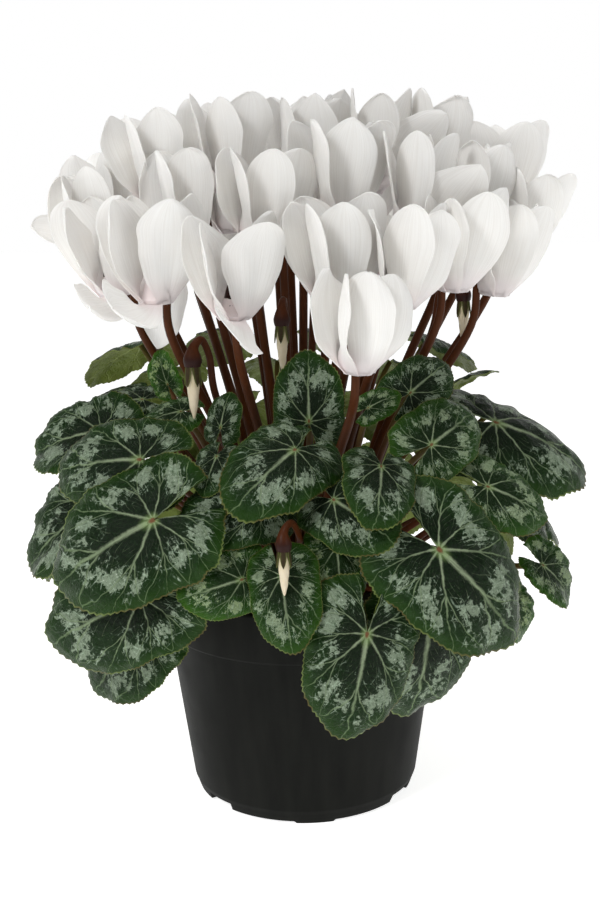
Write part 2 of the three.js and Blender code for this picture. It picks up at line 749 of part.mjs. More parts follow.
// The pot: a turned shell with a thicker band at the rim, drain slots and a foot ring cut into feet.
function potSolid() {
  const band = POT_HEIGHT - BAND_DEPTH;
  const floor = 6;
  const profile = [
    [0, 0],
    [12, 0],
    [14, 3],
    [POT_BASE_RADIUS - 6, 3.4],
    [POT_BASE_RADIUS - 4.6, 0],
    [POT_BASE_RADIUS - 1.6, 0],
    [POT_BASE_RADIUS - 0.6, 5],
    [wallRadius(5) + 0.2, 6],
    [wallRadius(band), band],
    [wallRadius(band) + 1.2, band + 0.8],
    [POT_TOP_RADIUS, POT_HEIGHT - 1],
    [POT_TOP_RADIUS - 0.6, POT_HEIGHT],
    [POT_TOP_RADIUS - 2 * WALL, POT_HEIGHT],
    [wallRadius(band) - WALL, band],
    [wallRadius(floor) - WALL, floor],
    [0, floor],
  ].map(([r, z]) => new THREE.Vector2(r, z));
  const lathe = new THREE.LatheGeometry(profile, 30);
  lathe.rotateX(Math.PI / 2);
  let solid = solidOf(lathe);
  const turnAbout = (geometry, angle) => geometry.rotateZ(angle);
  for (const azimuth of NOTCHES) {
    const slot = new THREE.BoxGeometry(16, 15, 5.2);
    slot.translate(POT_BASE_RADIUS - 1, 0, 1.2);
    solid = solid.subtract(solidOf(turnAbout(slot, radians(azimuth - 90))));
  }
  for (let i = 0; i < 6; i++) {
    const drain = new THREE.CylinderGeometry(4, 4, 20, 6).rotateX(Math.PI / 2);
    drain.translate(34, 0, 5);
    solid = solid.subtract(solidOf(turnAbout(drain, radians(60 * i))));
  }
  return solid;
}

// The peat fills the pot to the band, with a plain hole for the tuber.
function soilSolid() {
  const floor = 6 + GAP;
  const inside = (z) => wallRadius(z) - WALL - GAP;
  const profile = [
    [0, floor],
    [inside(floor), floor],
    [inside(82), 82],
    [inside(82) + 0.9, SOIL_LEVEL - 2],
    [54, SOIL_LEVEL],
    [38, SOIL_LEVEL - 2],
    [TUBER_RADIUS + 3, SOIL_LEVEL - 1],
    [TUBER_RADIUS + 1.4, SOIL_LEVEL - 4],
    [TUBER_RADIUS + 1.4, TUBER_TOP - 19 - GAP],
    [0, TUBER_TOP - 19 - GAP],
  ].map(([r, z]) => new THREE.Vector2(r, z));
  const lathe = new THREE.LatheGeometry(profile, 15);
  lathe.rotateX(Math.PI / 2);
  return solidOf(lathe);
}

// The tuber: a flattened ball that sits half out of the peat.
function tuberSolid() {
  const base = TUBER_TOP - 19;
  const profile = [
    [0, base],
    [TUBER_RADIUS * 0.8, base],
    [TUBER_RADIUS, base + 5],
    [TUBER_RADIUS, base + 9],
    [TUBER_RADIUS * 0.72, base + 15],
    [TUBER_RADIUS * 0.6, TUBER_TOP],
    [0, TUBER_TOP],
  ].map(([r, z]) => new THREE.Vector2(r, z));
  const lathe = new THREE.LatheGeometry(profile, 16);
  lathe.rotateX(Math.PI / 2);
  return solidOf(lathe);
}

const plant = new THREE.Group();
plant.add(meshOf(potSolid(), "pot", black));
plant.add(meshOf(soilSolid(), "soil", peat));

const bloomForms = BLOOMS.map(bloomForm);
const budForms = BUDS.map(budForm);
let tuberAndStems = tuberSolid();
for (const form of bloomForms) tuberAndStems = tuberAndStems.add(stemSolid(form));
for (const form of budForms) tuberAndStems = tuberAndStems.add(budStem(form));
plant.add(meshOf(tuberAndStems, "tuber_and_flower_stems", russet));

bloomForms.forEach((form, i) =>
  plant.add(meshOf(bloomSolid(form), `bloom_${String(i + 1).padStart(2, "0")}`, white)),
);
budForms.forEach((form, i) =>
  plant.add(meshOf(budSolid(form), `bud_${i + 1}`, cream)),
);
leafLayout().forEach((place, i) =>
  plant.add(meshOf(leafCluster(place), `leaf_cluster_${String(i + 1).padStart(2, "0")}`, green)),
);

export default plant;
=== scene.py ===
import math

import bpy
import numpy as np
from mathutils import Matrix


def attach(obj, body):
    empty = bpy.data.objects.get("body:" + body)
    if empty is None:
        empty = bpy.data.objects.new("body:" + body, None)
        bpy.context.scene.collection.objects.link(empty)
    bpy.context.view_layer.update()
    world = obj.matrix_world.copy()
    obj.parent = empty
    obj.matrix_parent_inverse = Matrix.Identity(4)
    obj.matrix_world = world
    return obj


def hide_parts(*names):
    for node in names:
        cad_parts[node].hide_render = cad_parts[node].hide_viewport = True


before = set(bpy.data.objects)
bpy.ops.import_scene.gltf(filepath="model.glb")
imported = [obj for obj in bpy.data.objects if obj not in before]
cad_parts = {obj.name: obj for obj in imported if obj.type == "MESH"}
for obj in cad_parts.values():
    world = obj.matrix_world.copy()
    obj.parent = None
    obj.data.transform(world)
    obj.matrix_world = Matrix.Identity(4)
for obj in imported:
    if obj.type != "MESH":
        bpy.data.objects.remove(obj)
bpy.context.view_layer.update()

# ------------------------------
# The pot: a tapered nursery pot of black polypropylene, injection moulded, 14 cm across.
# Its wall is thicker in a band under the rim. It stands on three wide feet with notches between
# them, and each foot has a low pad in its middle.
# ------------------------------
POT_TOP_RADIUS, POT_BASE_RADIUS, POT_HEIGHT = 70.0, 54.0, 106.0
BAND_DEPTH, WALL, POT_TURNS, MILLIMETRE = 24.0, 1.6, 288, 0.001
# The foot's pads and notches: their middles and half their widths in degrees, and how far the
# notches, and the foot between the pads, stand off the ground.
PADS, PAD_HALF = (4.5, 124.5, 244.5), 10.5
NOTCHES, NOTCH_HALF, NOTCH_HEIGHT, FOOT_LIFT = (-50, 58, 184), 8.5, 3.8, 1.1


def linear(colour):
    """An sRGB hex colour as the four linear numbers of a shader socket."""
    parts = [int(colour[i : i + 2], 16) / 255 for i in (1, 3, 5)]
    return [c / 12.92 if c <= 0.04045 else ((c + 0.055) / 1.055) ** 2.4 for c in parts] + [1.0]


# The setting that the word after the dot stands for, in a kind such as "Math.ADD".
CHOICES = {
    "Math": "operation", "VectorMath": "operation", "Mix": "data_type", "TexVoronoi": "feature",
    "MapRange": "interpolation_type",
}


def node(kind, inputs=(), out=None, **settings):
    """Adds one shader node with its settings and links to the tree in hand, and gives back one of its
    outputs: the first in use, unless out names another. Its inputs are a dict by name, or a row in
    the order of the sockets in use, as a noise's vector, scale, detail and roughness. Each is an
    output to link, an sRGB hex colour or a plain value."""
    kind, _, choice = kind.partition(".")
    made = tree.nodes.new("ShaderNode" + kind)
    if choice:
        settings[CHOICES[kind]] = choice
    for name, value in settings.items():
        setattr(made, name, value)
    if not isinstance(inputs, dict):
        inputs = dict(zip([socket for socket in made.inputs if socket.enabled], inputs))
    for socket, value in inputs.items():
        socket = made.inputs[socket] if isinstance(socket, str) else socket
        if isinstance(value, bpy.types.NodeSocket):
            tree.links.new(value, socket)
        else:
            socket.default_value = linear(value) if isinstance(value, str) else value
    in_use = [socket for socket in made.outputs if socket.enabled] or [None]
    return made.outputs[out] if out else in_use[0]


def material_of(name):
    """An empty node material, and its tree to take in hand."""
    made = bpy.data.materials.new(name)
    made.use_nodes = True
    made.node_tree.nodes.clear()
    return made, made.node_tree


def finish_material(inputs):
    """Adds the surface shader with its inputs, and the output, to the tree in hand."""
    node("OutputMaterial", {"Surface": node("BsdfPrincipled", inputs)})


def grid_faces(rows, columns):
    """Four-sided faces of rings of points: row by row upwards, and each ring closed on itself. They
    face outwards where the rings run counter-clockwise."""
    left = np.arange(rows * columns).reshape(rows, columns)
    right = np.roll(left, -1, axis=1)
    return np.stack([left[:-1], right[:-1], right[1:], left[1:]], axis=-1).reshape(-1, 4)


def closed_rings(grid, **values):
    """A part from rings of points that are stacked upwards, with a flat face on both ends."""
    rows, columns = grid.shape[:2]
    ring = np.arange(columns)[None]
    faces = [grid_faces(rows, columns), ring[:, ::-1], (rows - 1) * columns + ring]
    return {"points": grid.reshape(-1, 3), "faces": faces, **values}


def looped_profile(grid, **values):
    """A part from a closed profile carried round an axis, which closes on itself both ways."""
    rows, columns = grid.shape[:2]
    faces = grid_faces(rows + 1, columns) % (rows * columns)
    return {"points": grid.reshape(-1, 3), "faces": [faces], **values}


def turned_profile(radius, height, angle):
    """A profile carried round the upright axis from the front: x is the radius times the sine of the
    angle, y minus the radius times its cosine, and z the height."""
    x, y = radius * np.sin(angle), -radius * np.cos(angle)
    return np.stack(np.broadcast_arrays(x, y, height), axis=-1)


# The values that a part may give its points, for the patterns of the materials.
VALUES = ("u", "v", "x", "y", "side", "tone")


def piece_of(name, parts, materials, replaces, sharp=40):
    """Makes one object in metres from parts in millimetres, smooth but for edges over the sharp angle,
    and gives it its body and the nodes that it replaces. Each part is a dict of points,
    faces, the values at its points and, as skin, the number of its material."""
    points, faces, values, skins = [], [], [], []
    start = 0
    for part in parts:
        count = len(part["points"])
        points.append(part["points"])
        for block in part["faces"]:
            faces += (np.asarray(block) + start).tolist()
            skins += [part.get("skin", 0)] * len(block)
        row = np.zeros((count, len(VALUES)))
        for k, key in enumerate(VALUES):
            row[:, k] = np.ravel(part.get(key, 0))
        values.append(row)
        start += count
    points, values = np.concatenate(points), np.concatenate(values)
    mesh = bpy.data.meshes.new(name)
    mesh.from_pydata((points * MILLIMETRE).tolist(), [], faces)
    for material in materials:
        mesh.materials.append(material)
    mesh.polygons.foreach_set("material_index", np.array(skins, np.int32))
    corners = np.zeros(len(mesh.loops), np.int32)
    mesh.loops.foreach_get("vertex_index", corners)
    for layer, (a, b) in (("Surface", (0, 1)), ("Plane", (2, 3))):
        made = mesh.uv_layers.new(name=layer)
        made.data.foreach_set("uv", values[corners][:, [a, b]].astype(np.float32).ravel())
    for key, k in (("side", 4), ("tone", 5)):
        made = mesh.attributes.new(key, "FLOAT", "POINT")
        made.data.foreach_set("value", values[:, k].astype(np.float32))
    mesh.polygons.foreach_set("use_smooth", np.ones(len(mesh.polygons), bool))
    mesh.update()
    mesh.set_sharp_from_angle(angle=math.radians(sharp))
    piece = bpy.data.objects.new(name, mesh)
    bpy.context.scene.collection.objects.link(piece)
    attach(piece, "root")
    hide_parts(*replaces)


def rounded(profile, radius, steps=4):
    """A closed profile with each corner cut back by the radius, at most 0.45 of a side, and rounded
    on a quadratic Bezier curve that has the corner as its middle point."""
    points = np.asarray(profile, float)
    before, after = np.roll(points, 1, axis=0) - points, np.roll(points, -1, axis=0) - points
    reach_before = np.linalg.norm(before, axis=1, keepdims=True)
    reach_after = np.linalg.norm(after, axis=1, keepdims=True)
    a = points + before / reach_before * np.minimum(radius, 0.45 * reach_before)
    b = points + after / reach_after * np.minimum(radius, 0.45 * reach_after)
    t = np.linspace(0, 1, steps)[:, None]
    curve = (1 - t) ** 2 * a[:, None] + 2 * t * (1 - t) * points[:, None] + t**2 * b[:, None]
    return curve.reshape(-1, 2)


def wall_radius(z):
    """The outer radius of the pot's wall below the band: it grows evenly with the height."""
    return POT_BASE_RADIUS + (POT_TOP_RADIUS - 1.2 - POT_BASE_RADIUS) * z / POT_HEIGHT


# The wall's section: up the outside from the foot, over the rim, down the inside, and under the
# floor back to the foot.
band = POT_HEIGHT - BAND_DEPTH
pot_profile = rounded(
    [
        [POT_BASE_RADIUS - 1.2, 0],
        [POT_BASE_RADIUS + 0.3, 5],
        [wall_radius(7) + 0.15, 7],
        [wall_radius(band), band],
        [wall_radius(band) + 1.2, band + 0.9],
        [POT_TOP_RADIUS, POT_HEIGHT - 1],
        [POT_TOP_RADIUS - 0.6, POT_HEIGHT],
        [POT_TOP_RADIUS - 2.2, POT_HEIGHT],
        [wall_radius(band) - WALL + 0.4, band],
        [wall_radius(7) - WALL, 7],
        [40, 6.2],
        [12.2, 6.2],
        [12.2, 3.4],
        [40, 3.4],
        [POT_BASE_RADIUS - 3.6, 3.4],
        [POT_BASE_RADIUS - 3.2, 0],
    ],
    0.5,
)
pot_angle = np.linspace(0, 2 * np.pi, POT_TURNS, endpoint=False)


def nearest_turn(angle, middles):
    """How far angles lie from the nearest of some middles in degrees, without a sign."""
    apart = [(angle - math.radians(a) + np.pi) % (2 * np.pi) - np.pi for a in middles]
    return np.min(np.abs(apart), axis=0)


lift = np.where(nearest_turn(pot_angle, PADS) < math.radians(PAD_HALF), 0.0, FOOT_LIFT)
lift = np.where(nearest_turn(pot_angle, NOTCHES) < math.radians(NOTCH_HALF), NOTCH_HEIGHT, lift)
radius, height = pot_profile[:, :1], pot_profile[:, 1:]
foot = (height < 4.8) & (radius > POT_BASE_RADIUS - 4.5)
height = np.where(foot, np.maximum(height, lift), height + 0 * lift)
pot_wall = looped_profile(turned_profile(radius, height, pot_angle))

# The pad in the middle of the underside closes the floor and is the face that the pot stands on.
hub_profile = np.array([[0.01, 0.0], [11.6, 0.0], [12.4, 0.5], [12.8, 3.6], [12.8, 6.0], [0.01, 6.2]])
pot_hub = closed_rings(turned_profile(hub_profile[:, :1], hub_profile[:, 1:], pot_angle[::4]))

# Black polypropylene off a mould: matt, with a fine grain of 0.4 mm and faint streaks, 6 mm wide,
# down the draft.
polypropylene, tree = material_of("black_polypropylene")
where = node("TexCoord", out="Object")
grain = node("TexNoise", (where, 2600, 2))
stretched = node("Mapping", {"Vector": where, "Scale": (160, 160, 9)})
streaks = node("TexNoise", (stretched, 1, 3))
dust = node("TexNoise", (where, 38, 5, 0.6))
tint = node("MapRange", (streaks, 0.3, 0.75))
pot_colour = node("Mix.RGBA", (tint, "#121311", "#1a1b18"))
pot_rough = node("MapRange", (dust, 0.3, 0.7, 0.5, 0.62))
heights = node("Math.ADD", (grain, streaks))
pot_bump = node("Bump", {"Height": heights, "Strength": 0.18, "Distance": 0.0002})
finish_material(
    {"Base Color": pot_colour, "Roughness": pot_rough, "Normal": pot_bump, "Specular IOR Level": 0.07}
)
piece_of("pot_moulding", [pot_wall, pot_hub], [polypropylene], ["pot"], sharp=32)

# ------------------------------
# The peat: dark, damp potting peat with fibres and crumbs, filled to the band inside the rim.
# It is firmed by hand, so it is a little hollow, and it is higher round the tuber.
# ------------------------------
PEAT_TURNS, PEAT_RINGS, CRUMBS = 180, 46, 170


def seeded(seed):
    """Numbers from -1 to 1, the same on every run: each state is the last one times 1664525 plus
    1013904223, kept to 32 bits."""
    state = seed & 0xFFFFFFFF

    def draw():
        """The next number."""
        nonlocal state
        state = (state * 1664525 + 1013904223) & 0xFFFFFFFF
        return state / 2**32 * 2 - 1

    return draw


def ripples(x, y, seed, finest=1.0):
    """A bumpy field from -1 to 1: the mean of seven sine waves in random directions, with rates of
    up to the finest, in radians per millimetre."""
    draw = seeded(seed)
    total = np.zeros_like(x)
    waves = 7
    for k in range(waves):
        turn, phase = math.pi * draw(), math.pi * draw()
        rate = finest * (0.35 + 0.65 * (k + 1) / waves)
        total += np.sin(rate * (x * math.cos(turn) + y * math.sin(turn)) + phase)
    return total / waves


peat_radius = np.concatenate([[0.02], np.linspace(6, 64.2, PEAT_RINGS)])[:, None]
peat_turn = np.linspace(0, 2 * np.pi, PEAT_TURNS, endpoint=False)
peat_x, peat_y = peat_radius * np.sin(peat_turn), -peat_radius * np.cos(peat_turn)
peat_z = (
    np.interp(peat_radius, [0, 24, 27, 38, 54, 62, 64.2], [84, 86, 88.4, 87.6, 89, 87.6, 86.6])
    + 0.9 * ripples(peat_x, peat_y, 3, finest=1.3)
    + 0.5 * ripples(peat_x, peat_y, 4, finest=3.2)
)
peat_z[0] = peat_z[0].mean()
peat_top = turned_profile(peat_radius, peat_z, peat_turn)
low_radius = np.array([[wall_radius(80) - WALL - 0.4], [wall_radius(6.4) - WALL - 0.4], [0.02]])
peat_low = turned_profile(low_radius, np.array([[80.0], [6.4], [6.4]]), peat_turn)
peat_body = closed_rings(np.concatenate([peat_top, peat_low]))
# Its rings run from the top down, so its faces are turned round.
peat_body["faces"] = [block[:, ::-1] for block in peat_body["faces"]]

# The crumbs: lumps of three uneven rings, up to 4 mm across, half sunk in the surface.
draw = seeded(71)
crumb_parts = []
for _ in range(CRUMBS):
    reach, turn, size = 28 + 34 * (0.5 + 0.5 * draw()), math.pi * draw(), 1.1 + 0.8 * draw()
    centre = np.array([reach * math.sin(turn), -reach * math.cos(turn), 88.4 + 0.5 * draw()])
    ring = np.linspace(0, 2 * np.pi, 6, endpoint=False)
    levels = np.array([[-0.8], [0.0], [0.8]])
    swell = np.array([[0.6], [1.0], [0.55]]) * (1 + 0.3 * np.sin(3 * ring + draw()))
    flat = 0.8 + 0.3 * draw()
    crumb = np.stack([swell * np.cos(ring), swell * np.sin(ring) * flat, levels + 0 * ring], axis=-1)
    crumb_parts.append(closed_rings(centre + size * crumb, tone=0.5 + 0.5 * draw()))

# Peat moss: nearly black when damp, with clods of 4 mm, browner crumbs and a dull, open surface.
peat_moss, tree = material_of("damp_peat")
where = node("TexCoord", out="Object")
clods = node("TexNoise", (where, 260, 6, 0.7))
fibres = node("TexVoronoi", (where, 420))
tone = node("Attribute", out="Fac", attribute_name="tone")
browner = node("MapRange", (node("Math.MULTIPLY_ADD", (clods, tone, tone)), 0.35, 1.6))
peat_colour = node("Mix.RGBA", (browner, "#0d0a08", "#3a2a1c"))
heights = node("Math.ADD", (clods, fibres))
peat_bump = node("Bump", {"Height": heights, "Strength": 0.8, "Distance": 0.0012})
finish_material({"Base Color": peat_colour, "Roughness": 0.95, "Normal": peat_bump})
piece_of("peat", [peat_body, *crumb_parts], [peat_moss], ["soil"], sharp=60)

# ------------------------------
# The blooms: five white petals from one short tube. The bloom nods, so its mouth looks down, and
# the petals are swept back past it and stand up, each twisted a little and cupped round the next.
# The row gives the nose x, y, z, the turn about the axis, the size, and how far it opens.
# ------------------------------
BLOOMS = [
    (-26, -75, 237, 23, 1, 0.92), (16, -67, 241, -46, 1.05, 0.81), (24, -97, 217, 0, 0.95, 0.3),
    (42, -72, 240, 24, 1, 0.92), (67, -48, 245, -20, 1, 1), (88, -26, 241, -11, 1, 0.98),
    (-59, -60, 243, 30, 1.05, 0.75), (-81, -30, 244, 14, 1, 1.06), (-48, -31, 263, -22, 1, 0.75),
    (-16, -43, 266, 40, 1, 1.03), (18, -36, 274, -10, 1.05, 1), (50, -35, 270, -6, 1, 0.92),
    (77, -5, 266, -39, 1, 1.05), (-91, 2, 258, -2, 1, 1.05), (-62, -6, 282, 0, 1, 1.1),
    (-30, -4, 288, 30, 1, 1), (2, -2, 285, 30, 1.05, 0.88), (34, -2, 290, -30, 1, 1),
    (59, 20, 290, -23, 1, 1.11), (102, 5, 255, -12, 0.95, 1.14), (98, 34, 278, 22, 1, 1.09),
    (-85, 35, 266, 12, 1, 1.06), (-51, 32, 281, 10, 1, 1), (-17, 34, 279, 25, 1, 0.86),
    (4, 22, 291, 13, 1, 1.03), (35, 32, 286, 32, 1, 0.99), (-61, 62, 260, 11, 1, 1.04),
    (-32, 57, 268, 18, 1, 0.88), (0, 60, 276, -12, 1, 1.11), (34, 62, 269, -2, 1, 1.03),
    (66, 51, 267, -10, 1, 0.95), (-25, 83, 248, 0, 1, 1.1), (11, 86, 248, 0, 1, 1.1),
    (48, 78, 244, 22, 1, 1.14),
]
# Petals that hang loose: the bloom's number, which of its five petals, and its drop in degrees.
LOOSE_PETALS = {
    (1, 2): 75, (7, 2): 72, (8, 3): 75, (9, 2): 150, (12, 2): 30, (18, 2): 30, (22, 3): 60, (27, 2): 80,
    (31, 3): 110, (34, 1): 60,
}
PETAL_LENGTH, PETAL_HALF_WIDTH, MOUTH_RADIUS, TUBE_LENGTH = 43.0, 19.2, 5.7, 8.4
UP = np.array([0.0, 0.0, 1.0])


def unit(v):
    """Vectors made one long, along the last axis."""
    return v / np.linalg.norm(v, axis=-1, keepdims=True)


def turned(v, axis, angle):
    """A vector that stands square to an axis, turned about it: the vector times the cosine, plus the
    cross product of axis and vector times the sine."""
    return v * math.cos(angle) + np.cross(axis, v) * math.sin(angle)


def bloom_form(row, index):
    """The bloom's own frame and its petals: the axis runs from the mouth up to the sepals, and leans
    out of the dome by 1 degree in its middle and by about 6 at its edge."""
    x, y, z, turn, size, opened = row
    random = seeded(500 + 31 * index)
    reach = math.hypot(x, y)
    inward = turned(np.array([-x / reach, -y / reach, 0.0]), UP, math.radians(turn))
    lean = math.radians(1 + 5 * min(1, reach / 90) + 2 * random())
    axis = UP * math.cos(lean) - inward * math.sin(lean)
    stem_side = unit(inward - axis * inward.dot(axis))
    petals = [
        {
            "azimuth": math.radians(180 + angle + 2 * random()),
            "flare": opened * (0.243 + 0.03 * random()),
            "belly": 1.1 + 6 * max(0, 0.9 - opened),
            "twist": math.radians(46 + 4 * random()),
            "cup": 24 + 2 * random(),
            "length": PETAL_LENGTH * size * (1 + 0.05 * random()),
            "half_width": PETAL_HALF_WIDTH * size,
            "recurve": 2 * random(),
            "drop": math.radians(LOOSE_PETALS.get((index + 1, k), 0)),
        }
        for k, angle in enumerate((-102, -52, 0, 52, 102))
    ]
    basis = np.stack([stem_side, np.cross(axis, stem_side), axis])
    return {"nose": np.array([x, y, z], float), "basis": basis, "size": size, "petals": petals}


def in_bloom(form, x, y, z):
    """Points given in the frame of a bloom or bud: the nose plus x, y and z times the frame's rows."""
    return form["nose"] + np.stack(np.broadcast_arrays(x, y, z), axis=-1) @ form["basis"]


def closed_sheet(middle, thickness, pole=False, **values):
    """A part from a sheet with a thickness: its middle surface is a grid of points, and its values
    are grids like it or numbers. Both faces lie half the thickness off it along its normal, side 0
    and side 1, and a wall joins them round the edge. With a pole, the whole first row is one point."""
    rows, columns = middle.shape[:2]
    along_rows = np.gradient(middle, axis=0)
    along_columns = np.gradient(middle, axis=1)
    if pole:
        along_columns[0] = along_columns[1]
    normal = unit(np.cross(along_columns, along_rows))
    if pole:
        normal[0] = unit(normal[1].mean(axis=0))
    half = np.broadcast_to(thickness, (rows, columns))[..., None] / 2
    ids = np.maximum(np.arange(rows * columns) - pole * (columns - 1), 0).reshape(rows, columns)
    keep = np.unique(ids, return_index=True)[1]
    count = len(keep)
    low, high = (ids[1:-1], ids[2:]) if pole else (ids[:-1], ids[1:])
    quads = np.stack([low[:, :-1], low[:, 1:], high[:, 1:], high[:, :-1]], axis=-1).reshape(-1, 4)
    faces = [quads, quads[:, ::-1] + count]
    if pole:
        fan = np.stack([ids[0, :-1], ids[1, 1:], ids[1, :-1]], axis=-1)
        faces += [fan, fan[:, ::-1] + count]
        loop = [ids[-1, 1:][::-1], ids[-1, :1], ids[1:-1, 0][::-1], [0], ids[1:-1, -1]]
    else:
        loop = [ids[0, :-1], ids[:-1, -1], ids[-1, 1:][::-1], ids[1:, 0][::-1]]
    loop = np.concatenate(loop)
    after = np.roll(loop, -1)
    faces.append(np.stack([loop + count, after + count, after, loop], axis=-1))
    both = [(middle + side * normal * half).reshape(-1, 3)[keep] for side in (1, -1)]
    for key, value in values.items():
        values[key] = np.tile(np.ravel(value)[keep], 2) if np.ndim(value) else value
    side = np.repeat([0.0, 1.0], count)
    return {"points": np.concatenate(both), "faces": faces, "side": side, **values}


def petal_width(s, point):
    """Half the petal's width at a share s of its length: a power of s times a power of 1 - s, plus a
    little of 1 - s cubed at the mouth, all swollen by a bell curve for a soft shoulder. With point 0
    it ends round and with point 1 in a blunt point."""
    shoulder = 1 + (0.03 + 0.05 * point) * np.exp(-(((s - 0.7) / 0.1) ** 2))
    body = (1.84 + 0.38 * point) * s**1.08 * (1 - s) ** (0.56 + 0.22 * point)
    return (0.2 * (1 - s) ** 3 + body) * shoulder


def petal_surface(form, petal, s, across, draw):
    """Points of a petal: s runs from the mouth to the tip, and across from -1 to 1. Its distance from
    the bloom's axis grows with s by the flare, plus a sine of s for the belly. The place q across is
    the petal's width at s, and slides a little sideways with s. Over the distance come q times the
    sine of the twist, less q squared for the cup, plus sines of s and across that make the edge and
    the face wavy, a rim that curls as s squared, and a narrow bell curve for the crease. A loose
    petal is turned down about the mouth by its drop."""
    size, length = form["size"], petal["length"]
    mouth = MOUTH_RADIUS * size
    radius = mouth + 1.6 * (1 - np.exp(-s / 0.06)) + length * petal["flare"] * s
    radius = radius + petal["recurve"] * s**4
    radius = radius + (petal["belly"] + 0.4 * draw()) * np.sin(np.pi * s) + 1.2 * draw() * s**5
    q = across * petal["half_width"] * petal_width(s, 0.5 + 0.5 * draw())
    q = q * (1 + 0.03 * np.sin(9 * s + 3 * draw()) + 0.015 * np.sin(23 * s + 3 * draw()))
    q = q + 0.7 * draw() * np.sin(np.pi * s) ** 2 + 1.1 * draw() * s**4
    turn = petal["twist"] * np.minimum(1, s / 0.3)
    rim = np.abs(across) ** 3
    wavy = (1.3 * np.sin(6 * s + 3 * draw()) + 0.6 * np.sin(14 * s + 3 * draw()) * across) * rim * s
    wavy = wavy + 0.55 * np.sin(4.5 * s + 2.5 * across + 3 * draw()) * np.sin(np.pi * s)
    wavy = wavy + 0.35 * np.sin(5.5 * across + 2 * s + 3 * draw()) * np.sin(np.pi * s)
    curl = 2.0 * draw() * rim * s * s
    crease = -(0.5 + 0.35 * draw()) * np.exp(-((across / 0.14) ** 2))
    crease = crease * np.sin(np.pi * np.minimum(1, 1.1 * s))
    over = radius + q * np.sin(turn) - q * q / (2 * petal["cup"]) + wavy + curl + crease - mouth
    rise = 0.97 * length * s - 0.5 * np.exp(-((s / 0.03) ** 2))
    drop = petal["drop"]
    out = mouth + over * math.cos(drop) + rise * math.sin(drop)
    sideways = q * np.cos(turn)
    x = out * math.cos(petal["azimuth"]) - sideways * math.sin(petal["azimuth"])
    y = out * math.sin(petal["azimuth"]) + sideways * math.cos(petal["azimuth"])
    return in_bloom(form, x, y, rise * math.cos(drop) - over * math.sin(drop))


PETAL_ROWS, PETAL_COLUMNS = 22, 15
# The draw of each bloom's petals, picked so that hardly any of them cross.
PETAL_SEEDS = [
    5, 41, 0, 26, 65, 7, 3, 1, 23, 41, 52, 40, 35, 16, 48, 0, 52, 55, 11, 37, 16, 1, 20, 23, 48, 43, 11,
    26, 3, 6, 0, 1, 8, 0,
]
petal_s, petal_across = np.meshgrid(
    0.998 * (1 - (1 - np.linspace(0, 1, PETAL_ROWS)) ** 1.5),
    np.sin(np.linspace(-np.pi / 2, np.pi / 2, PETAL_COLUMNS)),
    indexing="ij",
)

# White petal: thin, watery tissue with fine veins along it, under 1 mm apart. Light goes a little
# way into it, the surface has a satin sheen, and the nose is tinged with pink.
petal_tissue, tree = material_of("white_petal")
surface = node("UVMap", uv_map="Surface")
across = node("SeparateXYZ", (surface,), out="X")
along = across.node.outputs["Y"]
tone = node("Attribute", out="Fac", attribute_name="tone")
lengthwise = node("Mapping", {"Vector": surface, "Scale": (26, 1.4, 1)})
shifted = node("CombineXYZ", {"Z": node("Math.MULTIPLY", (tone, 40.0))})
lengthwise = node("VectorMath.ADD", (lengthwise, shifted))
veins = node("TexNoise", (lengthwise, 1, 3, 0.55))
shade = node("MapRange", (veins, 0.32, 0.62))
white = node("Mix.RGBA", (shade, "#eeebe6", "#f6f4f0"))
blush = node("MapRange.SMOOTHSTEP", (along, 0.0, 0.34, 0.55, 0.0))
petal_colour = node("Mix.RGBA", (blush, white, "#e6cfd2"))
petal_bump = node("Bump", {"Height": veins, "Strength": 0.22, "Distance": 0.0005})
finish_material(
    {
        "Base Color": petal_colour, "Roughness": 0.52, "Normal": petal_bump,
        "Subsurface Weight": 0.5, "Subsurface Radius": (1.0, 0.92, 0.86), "Subsurface Scale": 0.004,
        "Specular IOR Level": 0.3,
    }
)


def lathe_about(form, profile, turns, **values):
    """A ring about the bloom's axis, from a closed profile: in the bloom's own frame, x is the radius
    times the cosine of the angle, y the radius times its sine, and z the height."""
    angle = np.linspace(0, 2 * np.pi, turns, endpoint=False)
    radius, height = profile[:, :1], profile[:, 1:]
    ring = in_bloom(form, radius * np.cos(angle), radius * np.sin(angle), height)
    return looped_profile(ring, **values)


# The short tube that the petals stand on, as radius and height over the nose, for size 1.
TUBE_TURNS = 24
TUBE_PROFILE = [
    [6.9, 1.6], [6.0, 2.4], [5.2, 5.0], [4.4, 8.2], [3.7, 8.5], [3.3, 7.6], [4.0, 4.2], [4.7, 1.2],
    [5.2, 0.0], [5.7, -0.5], [6.4, -0.35], [6.9, 0.5],
]
bloom_forms = [bloom_form(row, index) for index, row in enumerate(BLOOMS)]
for index, form in enumerate(bloom_forms):
    draw = seeded(9000 + 13 * index + 1000 * PETAL_SEEDS[index])
    parts = []
    for petal in form["petals"]:
        middle = petal_surface(form, petal, petal_s, petal_across, draw)
        thickness = 0.5 - 0.22 * petal_across**2
        tone = 0.5 + 0.5 * draw()
        parts.append(closed_sheet(middle, thickness, u=petal_across, v=petal_s, tone=tone))
    profile = np.array(TUBE_PROFILE) * form["size"]
    parts.append(lathe_about(form, profile, TUBE_TURNS, v=0.02, tone=0.3))
    number = f"{index + 1:02d}"
    piece_of("petals_" + number, parts, [petal_tissue], ["bloom_" + number])

